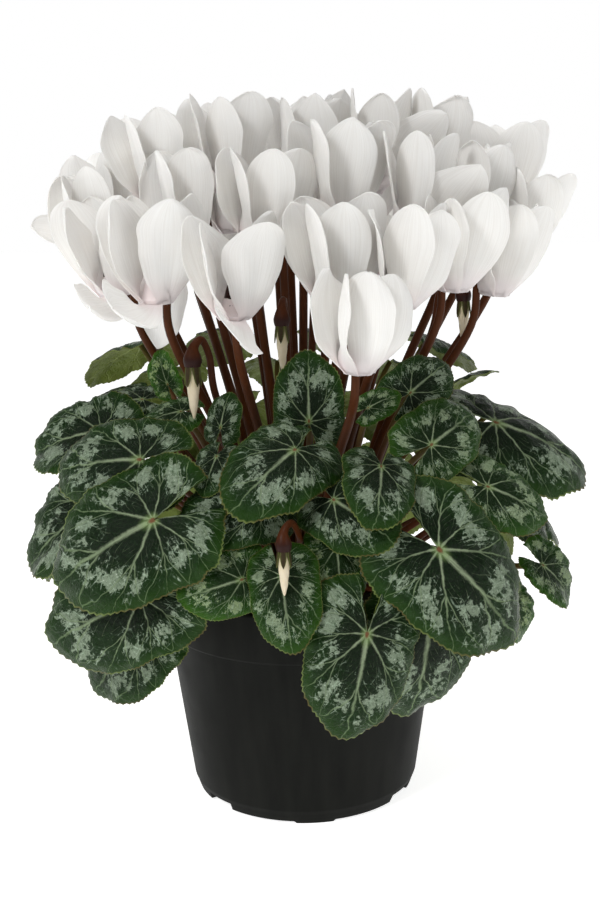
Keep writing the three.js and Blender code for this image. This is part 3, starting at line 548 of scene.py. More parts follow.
# ------------------------------
# The tuber and the flower stems: a flattened, corky tuber that sits half out of the peat, and from
# its crown one juicy red-brown stem for each bloom and bud, hooked over at the top to five sepals.
# ------------------------------
TUBER_TOP, TUBER_TURNS, CROWN_RADIUS, STEM_RADIUS, GAP = 99.0, 96, 14.0, 2.2, 0.3
STEM_STEPS, BUD_STEM_STEPS, SEPALS = 44, 48, 5
# A bud's row gives the tip x, y, z and the size.
BUDS = [(-45, -62, 193, 1.0), (-7, -44, 210, 0.9), (76, -14, 217, 0.9), (-7, -127, 134, 0.8)]
# The last bud hangs low between the leaves, and its stem takes its own way up.
LOW_BUD_WAY = [(-6.5, -11.8, 94), (-6, -49.6, 132.4), (-7.6, -74.2, 137.6), (-0.6, -105.6, 150)]
BUD_LENGTH = 22.0


def through(knots, steps):
    """A smooth path through points of any width: a Catmull-Rom spline, sampled evenly in its pace,
    which grows from knot to knot by the square root of the distance."""
    knots = np.asarray(knots, float)
    knots = np.concatenate([2 * knots[:1] - knots[1:2], knots, 2 * knots[-1:] - knots[-2:-1]])
    distance = np.linalg.norm(np.diff(knots[:, :3], axis=0), axis=1)
    pace = np.concatenate([[0], np.cumsum(np.sqrt(distance))])
    t = np.linspace(pace[1], pace[-2], steps + 1)
    k = np.clip(np.searchsorted(pace, t, side="right") - 1, 1, len(knots) - 3)
    t = t[:, None]
    at = [pace[k + i][:, None] for i in (-1, 0, 1, 2)]
    rows = [knots[k + i] for i in (-1, 0, 1, 2)]
    # Each round of even blends between two paces leaves one row fewer.
    for limits in (((0, 1), (1, 2), (2, 3)), ((0, 2), (1, 3)), ((1, 2),)):
        rows = [
            ((at[b] - t) * rows[i] + (t - at[a]) * rows[i + 1]) / (at[b] - at[a])
            for i, (a, b) in enumerate(limits)
        ]
    return rows[0]


def stalk_tube(path, radius, level, sides=12, **values):
    """A round tube along a path, closed at both ends. Its rings are the radius times the cosine of
    the angle along one cross direction and times its sine along the other. Level is a direction
    that the path stays clear of."""
    along = unit(np.gradient(path, axis=0))
    over = unit(np.cross(along, level))
    side = np.cross(over, along)
    angle = np.linspace(0, 2 * np.pi, sides, endpoint=False)[None, :, None]
    radius = np.broadcast_to(radius, len(path))[:, None, None]
    rings = path[:, None] + radius * (np.cos(angle) * side[:, None] + np.sin(angle) * over[:, None])
    u, v = np.meshgrid(np.linspace(0, 1, sides), np.linspace(0, 1, len(path)))
    return closed_rings(rings, u=u, v=v, **values)


def sepal(form, azimuth, tone, foot, rise, spread, length, width):
    """A small pointed leaf of the calyx, laid down over the tube. With s from its foot to its tip, it
    sinks evenly with s and goes out from the foot's ring by a quarter sine of s, less the square of
    the place across over 6. Its half width is a power of 1 - s times a number that grows with s."""
    s, across = np.meshgrid(np.linspace(0, 1, 6), np.linspace(-1, 1, 5), indexing="ij")
    q = across * np.maximum(width * (1 - s) ** 0.8 * (0.55 + 0.9 * s), 0.05)
    out = foot + spread * np.sin(0.5 * np.pi * s) - q * q / 6
    x = out * math.cos(azimuth) - q * math.sin(azimuth)
    y = out * math.sin(azimuth) + q * math.cos(azimuth)
    middle = in_bloom(form, x, y, rise - length * s)
    return closed_sheet(middle, 0.45, u=across, v=s, skin=1, tone=tone)


tuber_profile = rounded(
    [[0.02, 80.5], [19, 80.5], [24, 85], [24, 89], [19.5, 94.5], [15.5, 98.4], [0.02, 99]], 2.5, steps=6
)
tuber_angle = np.linspace(0, 2 * np.pi, TUBER_TURNS, endpoint=False)
tuber_x, tuber_y = np.cos(tuber_angle), np.sin(tuber_angle)
tuber_r, tuber_z = tuber_profile[:, :1], tuber_profile[:, 1:]
tuber_r = tuber_r * (1 + 0.03 * ripples(9 * tuber_x + 0 * tuber_z, 9 * tuber_y + 0.6 * tuber_z, 8))
tuber_grid = np.stack([tuber_r * tuber_x, tuber_r * tuber_y, tuber_z + 0 * tuber_r], axis=-1)
stem_parts = [closed_rings(tuber_grid, skin=2)]

# The stems' feet stand on the crown as the blooms do in the dome, drawn in to its radius.
for index, form in enumerate(bloom_forms):
    draw = seeded(4000 + 7 * index)
    crown = form["nose"] * [CROWN_RADIUS / 100, CROWN_RADIUS / 100, 0]
    root = crown + UP * (TUBER_TOP - 5)
    low = in_bloom(form, 9, -1, -14)
    middle = root + 0.55 * (low - root) + UP * 0.1 * math.hypot(form["nose"][0], form["nose"][1])
    hook = [(8.8, -1.2, 3), (7.5, -1.4, 12.5), (3.8, -0.8, 16.8), (0.4, 0, 14.4), (0, 0, 12)]
    hook.append((0, 0, TUBE_LENGTH + GAP))
    knots = [root, middle, low] + [in_bloom(form, *at) for at in hook]
    swell = [0.9, 1, 0.9, 0.82, 0.8, 0.85, 1.05, 1.5, 1.9]
    path = through(np.column_stack([np.array(knots), swell]), STEM_STEPS)
    width = STEM_RADIUS * 0.96 * path[:, 3]
    stem_parts.append(stalk_tube(path[:, :3], width, form["basis"][1], tone=0.5 + 0.5 * draw()))
    for k in range(SEPALS):
        turn, spread, tone = math.radians(360 / SEPALS * k + 20), 1.9 * form["size"], 0.5 + 0.5 * draw()
        sizes = {"foot": 3.2, "rise": 9.6, "spread": spread, "length": 6.2, "width": 2.3}
        stem_parts.append(sepal(form, turn, tone, **sizes))

bud_forms = []
for index, (x, y, z, size) in enumerate(BUDS):
    reach = math.hypot(x, y)
    inward = np.array([-x / reach, -y / reach, 0.0])
    basis = np.stack([inward, np.cross(UP, inward), UP])
    form = {"nose": np.array([x, y, z], float), "basis": basis, "size": size}
    bud_forms.append(form)
    top = BUD_LENGTH * size + GAP
    root = form["nose"] * [0.1, 0.1, 0] + UP * (TUBER_TOP - 5)
    hook = [(14, 0, top - 12), (11, 0, top + 4), (6, 0, top + 11), (1, 0, top + 8), (0, 0, top)]
    knots = [root, root + 0.5 * (in_bloom(form, 16, 0, top - 14) - root)]
    if index == 3:
        hook = [(9, -2.5, top + 9), (1.2, 0, top + 7), (0, 0, top)]
        knots = [np.array(at, float) for at in LOW_BUD_WAY]
    knots += [in_bloom(form, *at) for at in hook]
    swell = [1.0, 1.0, 0.95, 0.9, 0.95, 1.3, 2.0]
    # Just above the bud the stem swells to the ring that carries the sepals.
    knots.insert(-1, in_bloom(form, 0.2, 0, top + 3.2 * size))
    swell.insert(-1, 2.35)
    path = through(np.column_stack([np.array(knots), swell]), BUD_STEM_STEPS)
    stem_parts.append(stalk_tube(path[:, :3], 1.75 * size * path[:, 3], form["basis"][1], tone=0.4))
    for k in range(SEPALS):
        turn = math.radians(360 / SEPALS * k + 36)
        sizes = {"foot": 2.7 * size, "spread": 0.9 * size, "length": 9.5 * size, "width": 2.6 * size}
        stem_parts.append(sepal(form, turn, 0.7, rise=top + 1.2, **sizes))

# Stem skin: smooth and red-brown, faintly streaked along, with freckles of 1 mm and a soft gloss.
stem_skin, tree = material_of("stem_skin")
surface = node("UVMap", uv_map="Surface")
along = node("SeparateXYZ", (surface,), out="Y")
tone = node("Attribute", out="Fac", attribute_name="tone")
where = node("TexCoord", out="Object")
lengthwise = node("Mapping", {"Vector": where, "Scale": (1500, 1500, 60)})
streaks = node("TexNoise", (lengthwise, 1, 3))
freckles = node("TexNoise", (where, 900, 3))
warm = node("Mix.RGBA", (streaks, "#281207", "#5e2f15"))
dull = node("Mix.RGBA", (tone, "#301408", "#4c2b13"))
stem_colour = node("Mix.RGBA", (0.45, warm, dull))
darker = node("MapRange.SMOOTHSTEP", (along, 0.88, 0.96))
stem_colour = node("Mix.RGBA", (darker, stem_colour, "#2c1815"))
stem_bump = node("Bump", {"Height": freckles, "Strength": 0.25, "Distance": 0.0003})
finish_material(
    {"Base Color": stem_colour, "Roughness": 0.4, "Normal": stem_bump, "Specular IOR Level": 0.1}
)

# Calyx: small sepals of thick leaf tissue, brown-green with a mottle of 1.5 mm, paler at the edge.
calyx_skin, tree = material_of("calyx_skin")
surface = node("UVMap", uv_map="Surface")
across = node("SeparateXYZ", (surface,), out="X")
edge = node("MapRange", (node("Math.ABSOLUTE", (across,)), 0.55, 1.0))
where = node("TexCoord", out="Object")
mottle = node("TexNoise", (where, 700, 4))
calyx_base = node("Mix.RGBA", (mottle, "#24170f", "#3f371c"))
calyx_colour = node("Mix.RGBA", (edge, calyx_base, "#565b2e"))
finish_material({"Base Color": calyx_colour, "Roughness": 0.55, "Specular IOR Level": 0.15})

# Tuber cork: dry, brown and rough, in patches of 3 mm.
tuber_cork, tree = material_of("tuber_cork")
where = node("TexCoord", out="Object")
mottle = node("TexNoise", (where, 350, 6, 0.7))
cork_colour = node("Mix.RGBA", (mottle, "#2a1a11", "#6a4a33"))
cork_bump = node("Bump", {"Height": mottle, "Strength": 0.7, "Distance": 0.001})
finish_material({"Base Color": cork_colour, "Roughness": 0.9, "Normal": cork_bump})
skins = [stem_skin, calyx_skin, tuber_cork]
piece_of("tuber_and_stems", stem_parts, skins, ["tuber_and_flower_stems"], sharp=50)

# ------------------------------
# The buds: next week's flowers, hanging from their own hooked stems. The petals are furled round
# each other like an umbrella, cream and a little waxy.
# ------------------------------
BUD_ROWS, BUD_TURNS = 40, 40

# Bud petal: cream with a faint mottle of 2 mm, greener towards the calyx. Light goes a little way
# into it.
bud_tissue, tree = material_of("cream_bud")
surface = node("UVMap", uv_map="Surface")
along = node("SeparateXYZ", (surface,), out="Y")
where = node("TexCoord", out="Object")
mottle = node("TexNoise", (where, 500, 3))
cream = node("Mix.RGBA", (mottle, "#d2c5a8", "#ddd1b8"))
greener = node("MapRange", (along, 0.55, 1.0, 0.0, 0.7))
bud_colour = node("Mix.RGBA", (greener, cream, "#b5a86c"))
finish_material(
    {
        "Base Color": bud_colour, "Roughness": 0.45, "Subsurface Weight": 0.25,
        "Subsurface Radius": (1, 0.9, 0.7), "Subsurface Scale": 0.001,
    }
)
for index, form in enumerate(bud_forms):
    share = np.linspace(0, 1, BUD_ROWS)[:, None]
    turn = np.linspace(0, 2 * np.pi, BUD_TURNS, endpoint=False)
    radius = np.interp(share, [0, 0.03, 0.22, 0.62, 0.85, 1], [0.25, 0.6, 1.7, 2.7, 2.8, 2.0])
    # Five edges wind round the bud as they rise, each a step up from the petal under it.
    radius = radius * form["size"] * (1 + 0.09 * ((turn + 5.5 * share) * 5 / (2 * np.pi) % 1 - 0.5))
    height = share * BUD_LENGTH * form["size"]
    furled = in_bloom(form, radius * np.cos(turn), radius * np.sin(turn), height)
    furled = closed_rings(furled, v=share + 0 * turn, tone=0.5)
    number = str(index + 1)
    piece_of("furled_bud_" + number, [furled], [bud_tissue], ["bud_" + number])

# ------------------------------
# The leaves: thick, heart-shaped blades on long stalks. Pale veins fan out from the stalk, silver
# patches lie between them, and the edge has small beads of teeth. Each three leaves rise from one
# bud on the tuber's shoulder. A row gives the stalk end x, y, z, the tip x, y, z and the fold.
# ------------------------------
FRONT_LEAVES = [
    (25, -124, 117, 15, -120, 71, -0.1), (51, -106, 116, 43, -93, 68, 0),
    (54, -114, 148, 88, -101, 104, -0.1), (-8, -121, 140, -4, -131, 111, -0.2),
    (-2, -99, 186, -28, -121, 165, -0.1), (-17, -98, 164, -50, -104, 156, -0.1),
    (13, -107, 167, 37, -123, 152, -0.1), (32, -106, 180, 28, -130, 160, 0),
    (54, -84, 184, 75, -62, 194, 0), (87, -40, 185, 133, -24, 156, -0.2), (74, 22, 192, 98, 22, 200, 0),
    (47, -66, 203, 65, -50, 214, 0), (29, -72, 198, 43, -68, 203, 0), (4, -68, 192, 4, -62, 222, 0),
    (-58, -40, 205, -62, -34, 220, 0.3), (-71, -27, 196, -93, -17, 190, 0),
    (-51, -56, 195, -70, -52, 188, 0), (-66, -84, 180, -106, -67, 172, -0.1),
    (-88, -45, 185, -122, -28, 171, 0.3), (-88, -58, 156, -123, -48, 123, 0.3),
    (-59, -107, 160, -104, -95, 129, -0.1), (-66, -104, 127, -108, -86, 101, -0.1),
    (-70, -83, 106, -92, -68, 72, 0), (-24, -111, 136, -51, -108, 127, -0.1),
    (-104, -20, 142, -125, -8, 108, 0), (78, -80, 165, 105, -72, 148, 0),
    (86, -44, 154, 113, -38, 131, 0), (106, -58, 124, 121, -48, 104, 0.3),
    (104, 0, 146, 126, 10, 114, 0), (90, -66, 110, 98, -58, 90, 0.4), (42, -110, 143, 35, -116, 133, 0),
    (14, -108, 148, 15, -116, 122, 0), (-33, -74, 191, -29, -66, 205, 0),
    (-84, 4, 196, -104, 12, 186, 0), (-34, -90, 182, -39, -100, 167, 0), (96, 14, 184, 128, 16, 160, 0),
]
# Leaves at the back: how many, the first and last azimuth, the distance out and height of the
# stalk ends, the blades' length and slope, and how far neighbours stand apart.
BACK_TIERS = [
    (7, 123, 250, 92, 205, 36, 34, -8),
    (8, 110, 260, 101, 166, 35, 56, -7),
    (6, 112, 264, 112, 132, 48, 66, 3),
]
# Fresher leaves, by number: how far their green goes from the old one's to the young one's.
YOUNG = {
    30: 0.75, 31: 0.6, 23: 0.55, 14: 0.9, 12: 0.5, 24: 0.5, 29: 0.7, 27: 0.5, 8: 0.35, 3: 0.3, 16: 0.4,
    25: 0.4,
}
# The stalks' feet stand in two rings on the tuber's shoulder, the upper leaves' in the inner one.
STALK_RINGS, STALK_LEVELS, UPPER_LEAVES_FROM = (20.5, 25.5), (96.9, 92.3), 158
FOOT_WIDTH, FOOT_SPREAD, PUSHES, STALK_RADIUS = 10, 3.3, 60, 1.5
# The blade's bay at the stalk is left open from this angle on, and the mound's middle tells which
# way a blade faces.
SINUS, MOUND_CENTRE = math.radians(164), np.array([0, 0, 112.0])
VEIN_STEP, LEAF_COLUMNS, TOOTH = math.radians(42), 161, 0.011


def on_ring(azimuth, radius, height):
    """A point at an azimuth from the front, a distance out and a height."""
    return np.array([radius * math.sin(azimuth), -radius * math.cos(azimuth), height])


# The rows of all the leaves, those of the back with some roll about the midrib besides.
leaf_rows = [(*row, 0) for row in FRONT_LEAVES]
for number, (count, first, last, out, height, length, slope, step) in enumerate(BACK_TIERS):
    random = seeded(50 + number)
    for i in range(count):
        share = (i + 0.5 + 0.04 * random()) / count
        azimuth = math.radians(first + (last - first) * share)
        lift = step if i % 2 else -step
        at = on_ring(azimuth, out + 2 * random() - 0.4 * lift, height + lift)
        run = length * math.cos(math.radians(slope + 5 * random()))
        fall = length * math.sin(math.radians(slope))
        tip = on_ring(azimuth + 0.12 * random(), out + run, at[2] - fall)
        leaf_rows.append((*at, *tip, -0.1, 4 + 4 * random()))


def leaf_form(row, index):
    """The leaf's own frame and form, from its row and its number. Its upper side faces away from
    the middle of the mound, and is then turned by the roll."""
    random = seeded(1000 + 77 * index)
    at, tip, fold, roll = np.array(row[:3], float), np.array(row[3:6], float), row[6], row[7]
    length = np.linalg.norm(tip - at)
    along = (tip - at) / length
    middle = (at + tip) / 2 - MOUND_CENTRE
    normal = unit(middle - along * middle.dot(along))
    normal = turned(normal, along, math.radians(roll + 5 * random()))
    return {
        "at": at, "along": along, "normal": normal, "side": np.cross(along, normal),
        "length": length, "fold": fold, "index": index,
        "arch": 0.26 + 0.08 * random(), "wave": 0.03 + 0.012 * random(),
        "waves": 3 + math.floor(1.0 + 0.5 * random()), "phase": math.pi * random(),
        "width": 0.97 + 0.05 * random(),
    }


def leaf_outline(angle):
    """From the stalk end to the edge, as a share of the length, at an angle from the tip: a mean
    reach, cosines of the angle and its double and triple for the heart, and a bell for the tip."""
    return (
        0.585 + 0.17 * np.cos(angle) + 0.08 * np.cos(2 * angle) + 0.055 * np.cos(3 * angle)
        + 0.11 * np.exp(-((angle / 0.28) ** 2))
    )


def vein_place(angle, share):
    """Counts the main veins from the midrib: whole numbers lie on a vein. It is the angle over the
    step between veins, and the step shrinks with the share, so that they bend towards the tip."""
    return angle / (VEIN_STEP * (1 - 0.16 * share**1.5))


def leaf_surface(form, angle, share, edge):
    """Points of the blade's middle surface: angle turns about the stalk's end, and share runs from
    there to the outline, which sines of the angle make uneven. The height arches as y (1 - y),
    falls off as x squared and folds at the rib as the rounded size of x. To it come waves of the
    angle that grow with share, a half sine between each two veins, small sines that pucker the
    face and the edge, and a rim that turns down."""
    draw = seeded(7700 + form["index"])
    uneven = 0.016 * np.sin(5 * angle + 3 * draw()) + 0.012 * np.sin(11 * angle + 3 * draw())
    reach = share * leaf_outline(angle) * edge * (1 + uneven * share**3)
    x = reach * np.sin(angle) * form["width"]
    y = reach * np.cos(angle)
    z = (
        form["arch"] * y * (1 - y) - 0.28 * x * x + form["fold"] * (np.sqrt(x * x + 0.004) - 0.063)
        + form["wave"] * share**3 * np.sin(form["waves"] * angle + form["phase"])
    )
    between = np.abs((vein_place(angle, share) + 0.5) % 1 - 0.5)
    z += 0.034 * share * (1 - share**4) * np.sin(np.pi * np.minimum(between, 0.5)) - 0.008 * share
    z += 0.008 * share * (1 - share) * 4 * np.sin(29 * share + 5 * between + 3 * draw())
    z += 0.016 * share**4 * np.sin((8 + 2 * form["waves"]) * angle + 3 * draw())
    z += 0.009 * share**6 * np.sin((19 + form["waves"]) * angle + 3 * draw())
    z -= 0.02 * np.maximum(0, share - 0.88) * 8
    blade = x[..., None] * form["side"] + y[..., None] * form["along"] + z[..., None] * form["normal"]
    return form["at"] + form["length"] * blade, x, y


def stalk_path(form, root, steps=22):
    """The stalk rises from the tuber's shoulder and arches over to meet the blade from below: a
    cubic Bezier curve, with a first point 3 mm under its foot."""
    out = unit(form["at"] * [1, 1, 0])
    rise = form["at"][2] - root[2]
    end = form["at"] + 0.6 * form["along"]
    reach = np.linalg.norm(end - root)
    leave = root + 0.16 * reach * out + UP * max(0.42 * rise, 24)
    arrive = end - 0.2 * reach * form["normal"] - 0.04 * reach * form["along"]
    t = np.linspace(0, 1, steps)[:, None]
    path = (1 - t) ** 3 * root + 3 * (1 - t) ** 2 * t * leave
    path = path + 3 * (1 - t) * t * t * arrive + t**3 * end
    return np.concatenate([[root - 3 * UP], path])


def azimuth_of(form):
    """The azimuth of the stalk end, from the front."""
    return math.atan2(form["at"][0], -form["at"][1])


# Three neighbours in a ring share a foot. Feet that stand too close push each other apart.
forms = [leaf_form(row, index) for index, row in enumerate(leaf_rows)]
clusters = []
for ring in (0, 1):
    own = [form for form in forms if (form["at"][2] >= UPPER_LEAVES_FROM) == (ring == 0)]
    own = sorted(own, key=azimuth_of)
    threes = [own[i : i + 3] for i in range(0, len(own), 3)]
    azimuths = [azimuth_of(three[1]) for three in threes]
    spacing = FOOT_WIDTH / STALK_RINGS[ring]
    for _ in range(PUSHES):
        for i in range(len(azimuths)):
            k = (i + 1) % len(azimuths)
            apart = azimuths[k] + (0 if k else 2 * math.pi) - azimuths[i]
            push = max(0.0, spacing - apart) / 2
            azimuths[i] -= push
            azimuths[k] += push
    for three, azimuth in zip(threes, azimuths):
        clusters.append((three, azimuth, on_ring(azimuth, STALK_RINGS[ring], STALK_LEVELS[ring])))

# The edge's teeth: every other point of the outer rings stands out, and those between stand in.
leaf_shares = [0, 0.05, 0.12, 0.2, 0.29, 0.38, 0.47, 0.56, 0.65, 0.74, 0.82, 0.89, 0.945, 0.98, 1.0]
leaf_angles = np.linspace(-SINUS, SINUS, LEAF_COLUMNS)
leaf_share, leaf_angle = np.meshgrid(leaf_shares, leaf_angles, indexing="ij")
teeth = np.where(np.arange(LEAF_COLUMNS) % 2, 1, -1) * TOOTH
leaf_edge = 1 + teeth * np.clip((leaf_share - 0.93) / 0.07, 0, 1)

# Leaf blade: waxy, thick tissue. Dark blue-green in the heart, fresher towards the edge, with
# silver where air lies under the skin, and pale veins sunk a little into it. Pale green below.
# Its pattern lies in the blade's plane, where one unit is the blade's length, 25 to 60 mm.
leaf_blade, tree = material_of("marbled_leaf")
surface = node("UVMap", uv_map="Surface")
place = node("SeparateXYZ", (surface,), out="X")
share = place.node.outputs["Y"]
plane = node("UVMap", uv_map="Plane")
tone = node("Attribute", out="Fac", attribute_name="tone")
side = node("Attribute", out="Fac", attribute_name="side")

# Main veins: the distance from the nearest one, on lines that wobble and fray.
wobble = node("TexNoise", (plane, 5.5, 2))
wobble = node("Math.MULTIPLY", (node("Math.SUBTRACT", (wobble, 0.5)), 0.34))
place = node("Math.ADD", (place, node("Math.MULTIPLY", (wobble, share))))
between = node("Math.PINGPONG", (place, 0.5))
distance = node("Math.MULTIPLY", (node("Math.MULTIPLY", (between, share)), 0.47))
fray = node("TexNoise", (plane, 30, 5, 0.7))
fray = node("Math.MULTIPLY", (node("Math.SUBTRACT", (fray, 0.5)), 0.022))
distance = node("Math.ADD", (distance, fray))
midrib = node("MapRange.SMOOTHSTEP", (node("Math.ABSOLUTE", (place,)), 0.3, 0.5, 1.0, 0.0))
thick = node("Math.MULTIPLY_ADD", (share, -0.008, 0.0116))
thick = node("Math.MULTIPLY", (thick, node("Math.MULTIPLY_ADD", (midrib, 0.35, 1.0))))
distance = node("Math.DIVIDE", (distance, thick))
main_veins = node("MapRange.SMOOTHSTEP", (distance, 0.2, 1.6, 1.0, 0.0))
# Forks: each vein parts in two from 0.44 of the way out.
fork = node("Math.MAXIMUM", (node("Math.SUBTRACT", (share, 0.44)), 0.0))
fork = node("Math.SUBTRACT", (between, node("Math.MULTIPLY", (fork, 0.95))))
fork = node("Math.MULTIPLY", (node("Math.ABSOLUTE", (fork,)), share))
fork = node("Math.MULTIPLY", (fork, 0.47))
forks = node("MapRange.SMOOTHSTEP", (fork, 0.002, 0.0075, 0.85, 0.0))
forks = node("Math.MULTIPLY", (forks, node("MapRange.SMOOTHSTEP", (share, 0.44, 0.5))))
larger_veins = node("Math.MAXIMUM", (main_veins, forks))
# Rungs: side veins that leave the main ones at a slant, like the bars of a feather.
rung = node("Math.SUBTRACT", (share, node("Math.MULTIPLY", (between, 0.8))))
rung = node("Math.PINGPONG", (node("Math.MULTIPLY_ADD", (rung, 6.3, 0.25)), 0.5))
rungs = node("MapRange.SMOOTHSTEP", (rung, 0.01, 0.055, 0.6, 0.0))
rungs = node("Math.MULTIPLY", (rungs, node("MapRange.SMOOTHSTEP", (share, 0.22, 0.34))))
veins = node("Math.MAXIMUM", (main_veins, node("Math.MAXIMUM", (forks, rungs))))
# The net of the finest veins: cells of about 4 mm.
net_distance = node("TexVoronoi.DISTANCE_TO_EDGE", (plane, 11.0))
net = node("MapRange.SMOOTHSTEP", (net_distance, 0.012, 0.06, 0.5, 0.0))
net = node("Math.MULTIPLY", (net, node("MapRange.SMOOTHSTEP", (share, 0.3, 0.5))))

# Silver patches: one between each two veins, ragged, feathered along the veins and gritty.
ragged = node("TexNoise", (plane, 17, 7, 0.72))
feather_at = node("Mapping", {"Vector": surface, "Scale": (11, 3.2, 1)})
feather_at = node("VectorMath.ADD", (feather_at, plane))
feather = node("TexNoise", (feather_at, 1, 4, 0.6))
broad = node("TexNoise", (plane, 4.6, 2))
fleck = node("TexNoise", (plane, 52, 4, 0.7))
fit_across = node("Math.DIVIDE", (node("Math.SUBTRACT", (0.38, between)), 0.36))
fit_across = node("Math.POWER", (fit_across, 2.0))
fit_along = node("Math.DIVIDE", (node("Math.SUBTRACT", (share, 0.66)), 0.25))
fit_along = node("Math.POWER", (fit_along, 2.0))
patch = node("Math.SUBTRACT", (node("Math.SUBTRACT", (1.0, fit_across)), fit_along))
grit = node("Math.MULTIPLY", (node("Math.SUBTRACT", (ragged, 0.5)), 3.7))
for noise, mean, strength in ((feather, 0.5, 2.2), (broad, 0.52, 4.6)):
    uneven = node("Math.MULTIPLY", (node("Math.SUBTRACT", (noise, mean)), strength))
    grit = node("Math.ADD", (grit, uneven))
spread = node("Math.ADD", (patch, grit))
silver = node("MapRange.SMOOTHSTEP", (spread, 0.6, 0.9))
for limits in ((fleck, 0.36, 0.52, 0.62, 1.0), (share, 0.88, 0.95, 1.0, 0.0)):
    silver = node("Math.MULTIPLY", (silver, node("MapRange.SMOOTHSTEP", limits)))
# Fine pale lines of the net show round the patches, and tiny white specks there are painted glints,
# highlights painted into the colour.
net_lines = node("MapRange.SMOOTHSTEP", (net_distance, 0.01, 0.045, 1.0, 0.0))
for limits in ((spread, -0.4, 0.6), (feather, 0.42, 0.6), (share, 0.9, 0.96, 1.0, 0.0)):
    net_lines = node("Math.MULTIPLY", (net_lines, node("MapRange.SMOOTHSTEP", limits)))
# Painted glints: white highlight specks painted into the leaf's colour, where the silver patches are.
glint_specks = node("MapRange.SMOOTHSTEP", (fleck, 0.6, 0.65))
painted_glints = node("Math.MULTIPLY", (glint_specks, node("MapRange.SMOOTHSTEP", (spread, 0.0, 0.9))))

# The ground colours of old and young leaves, from the heart of the blade outwards.
cloud = node("TexNoise", (plane, 3.2, 3))
outwards = node("Math.MULTIPLY", (node("Math.SUBTRACT", (cloud, 0.5)), 0.7))
outwards = node("Math.ADD", (share, outwards))
outwards = node("MapRange.SMOOTHSTEP", (outwards, 0.35, 0.85))
heart, field, margin, silvery = (
    node("Mix.RGBA", (tone, old, young))
    for old, young in (
        ("#0a130a", "#142c07"), ("#0e200b", "#28500b"), ("#142a09", "#39640e"), ("#869484", "#93a866"),
    )
)
green = node("Mix.RGBA", (outwards, heart, field))
duller = node("MapRange.SMOOTHSTEP", (ragged, 0.3, 0.6))
silvery = node("Mix.RGBA", (duller, "#60725a", silvery))
vein_colour = node("Mix.RGBA", (share, "#a2b090", "#60784f"))
vein_fade = node("MapRange.SMOOTHSTEP", (feather, 0.3, 0.6, 0.45, 0.8))
rung_fade = node("Math.MULTIPLY", (rungs, node("MapRange.SMOOTHSTEP", (feather, 0.4, 0.6))))
flecks = node("MapRange.SMOOTHSTEP", (fleck, 0.45, 0.7))
weathered = node("MapRange.SMOOTHSTEP", (cloud, 0.4, 0.6))
rim_colour = node("Mix.RGBA", (weathered, "#7d8c4e", "#6a5a36"))
# The layers over the ground, from the lowest up: how much of each shows, and its colour.
for cover, colour in (
    (node("MapRange.SMOOTHSTEP", (share, 0.8, 0.95)), margin),
    (node("Math.MULTIPLY", (net, 0.3)), "#2c4828"),
    (node("Math.MULTIPLY", (flecks, 0.3)), "#24421d"),
    (node("Math.MULTIPLY", (silver, 0.85)), silvery),
    (node("Math.MULTIPLY", (net_lines, 0.6)), "#9db09a"),
    # Painted highlight: the white glint specks.
    (node("Math.MULTIPLY", (painted_glints, 0.65)), "#c4cfbf"),
    (node("Math.MULTIPLY", (larger_veins, vein_fade)), vein_colour),
    (node("Math.MULTIPLY", (rung_fade, 0.55)), vein_colour),
    # The stalk's end shows as a pale green spot with a red-brown middle.
    (node("MapRange.SMOOTHSTEP", (share, 0.04, 0.14, 0.5, 0.0)), "#7f9a5c"),
    (node("MapRange.SMOOTHSTEP", (share, 0.02, 0.05, 0.85, 0.0)), "#682d17"),
    (node("MapRange.SMOOTHSTEP", (share, 0.975, 0.995, 0.0, 0.6)), rim_colour),
):
    green = node("Mix.RGBA", (cover, green, colour))
below = node("Mix.RGBA", (larger_veins, "#84934a", "#a6b46e"))
patchy = node("MapRange.SMOOTHSTEP", (cloud, 0.35, 0.65))
below = node("Mix.RGBA", (patchy, below, "#76863f"))
leaf_colour = node("Mix.RGBA", (side, green, below))
leaf_rough = node("Math.ADD", (node("Math.MULTIPLY", (ragged, 0.3)), 0.14))
# The veins lie in furrows, and the tissue between them is pebbled and softly swollen.
swollen = node("TexNoise", (plane, 8, 2))
relief = node("Math.MULTIPLY", (veins, -0.9))
for height, strength in ((ragged, 0.7), (fleck, 0.5), (swollen, 2.2)):
    relief = node("Math.ADD", (relief, node("Math.MULTIPLY", (height, strength))))
leaf_bump = node("Bump", {"Height": relief, "Strength": 0.6, "Distance": 0.0011})
finish_material(
    {
        "Base Color": leaf_colour, "Roughness": leaf_rough, "Normal": leaf_bump,
        "Specular IOR Level": 0.09,
    }
)

# Leaf stalk: as the flower stems, red-brown at the foot and greener under the blade, with freckles
# of 1 mm.
stalk_skin, tree = material_of("stalk_skin")
surface = node("UVMap", uv_map="Surface")
along = node("SeparateXYZ", (surface,), out="Y")
where = node("TexCoord", out="Object")
freckles = node("TexNoise", (where, 800, 3))
ruddy = node("Mix.RGBA", (freckles, "#3a1c10", "#5f331d"))
greener = node("MapRange.SMOOTHSTEP", (along, 0.55, 1.0, 0.0, 0.55))
stalk_colour = node("Mix.RGBA", (greener, ruddy, "#66652f"))
finish_material({"Base Color": stalk_colour, "Roughness": 0.45, "Specular IOR Level": 0.15})

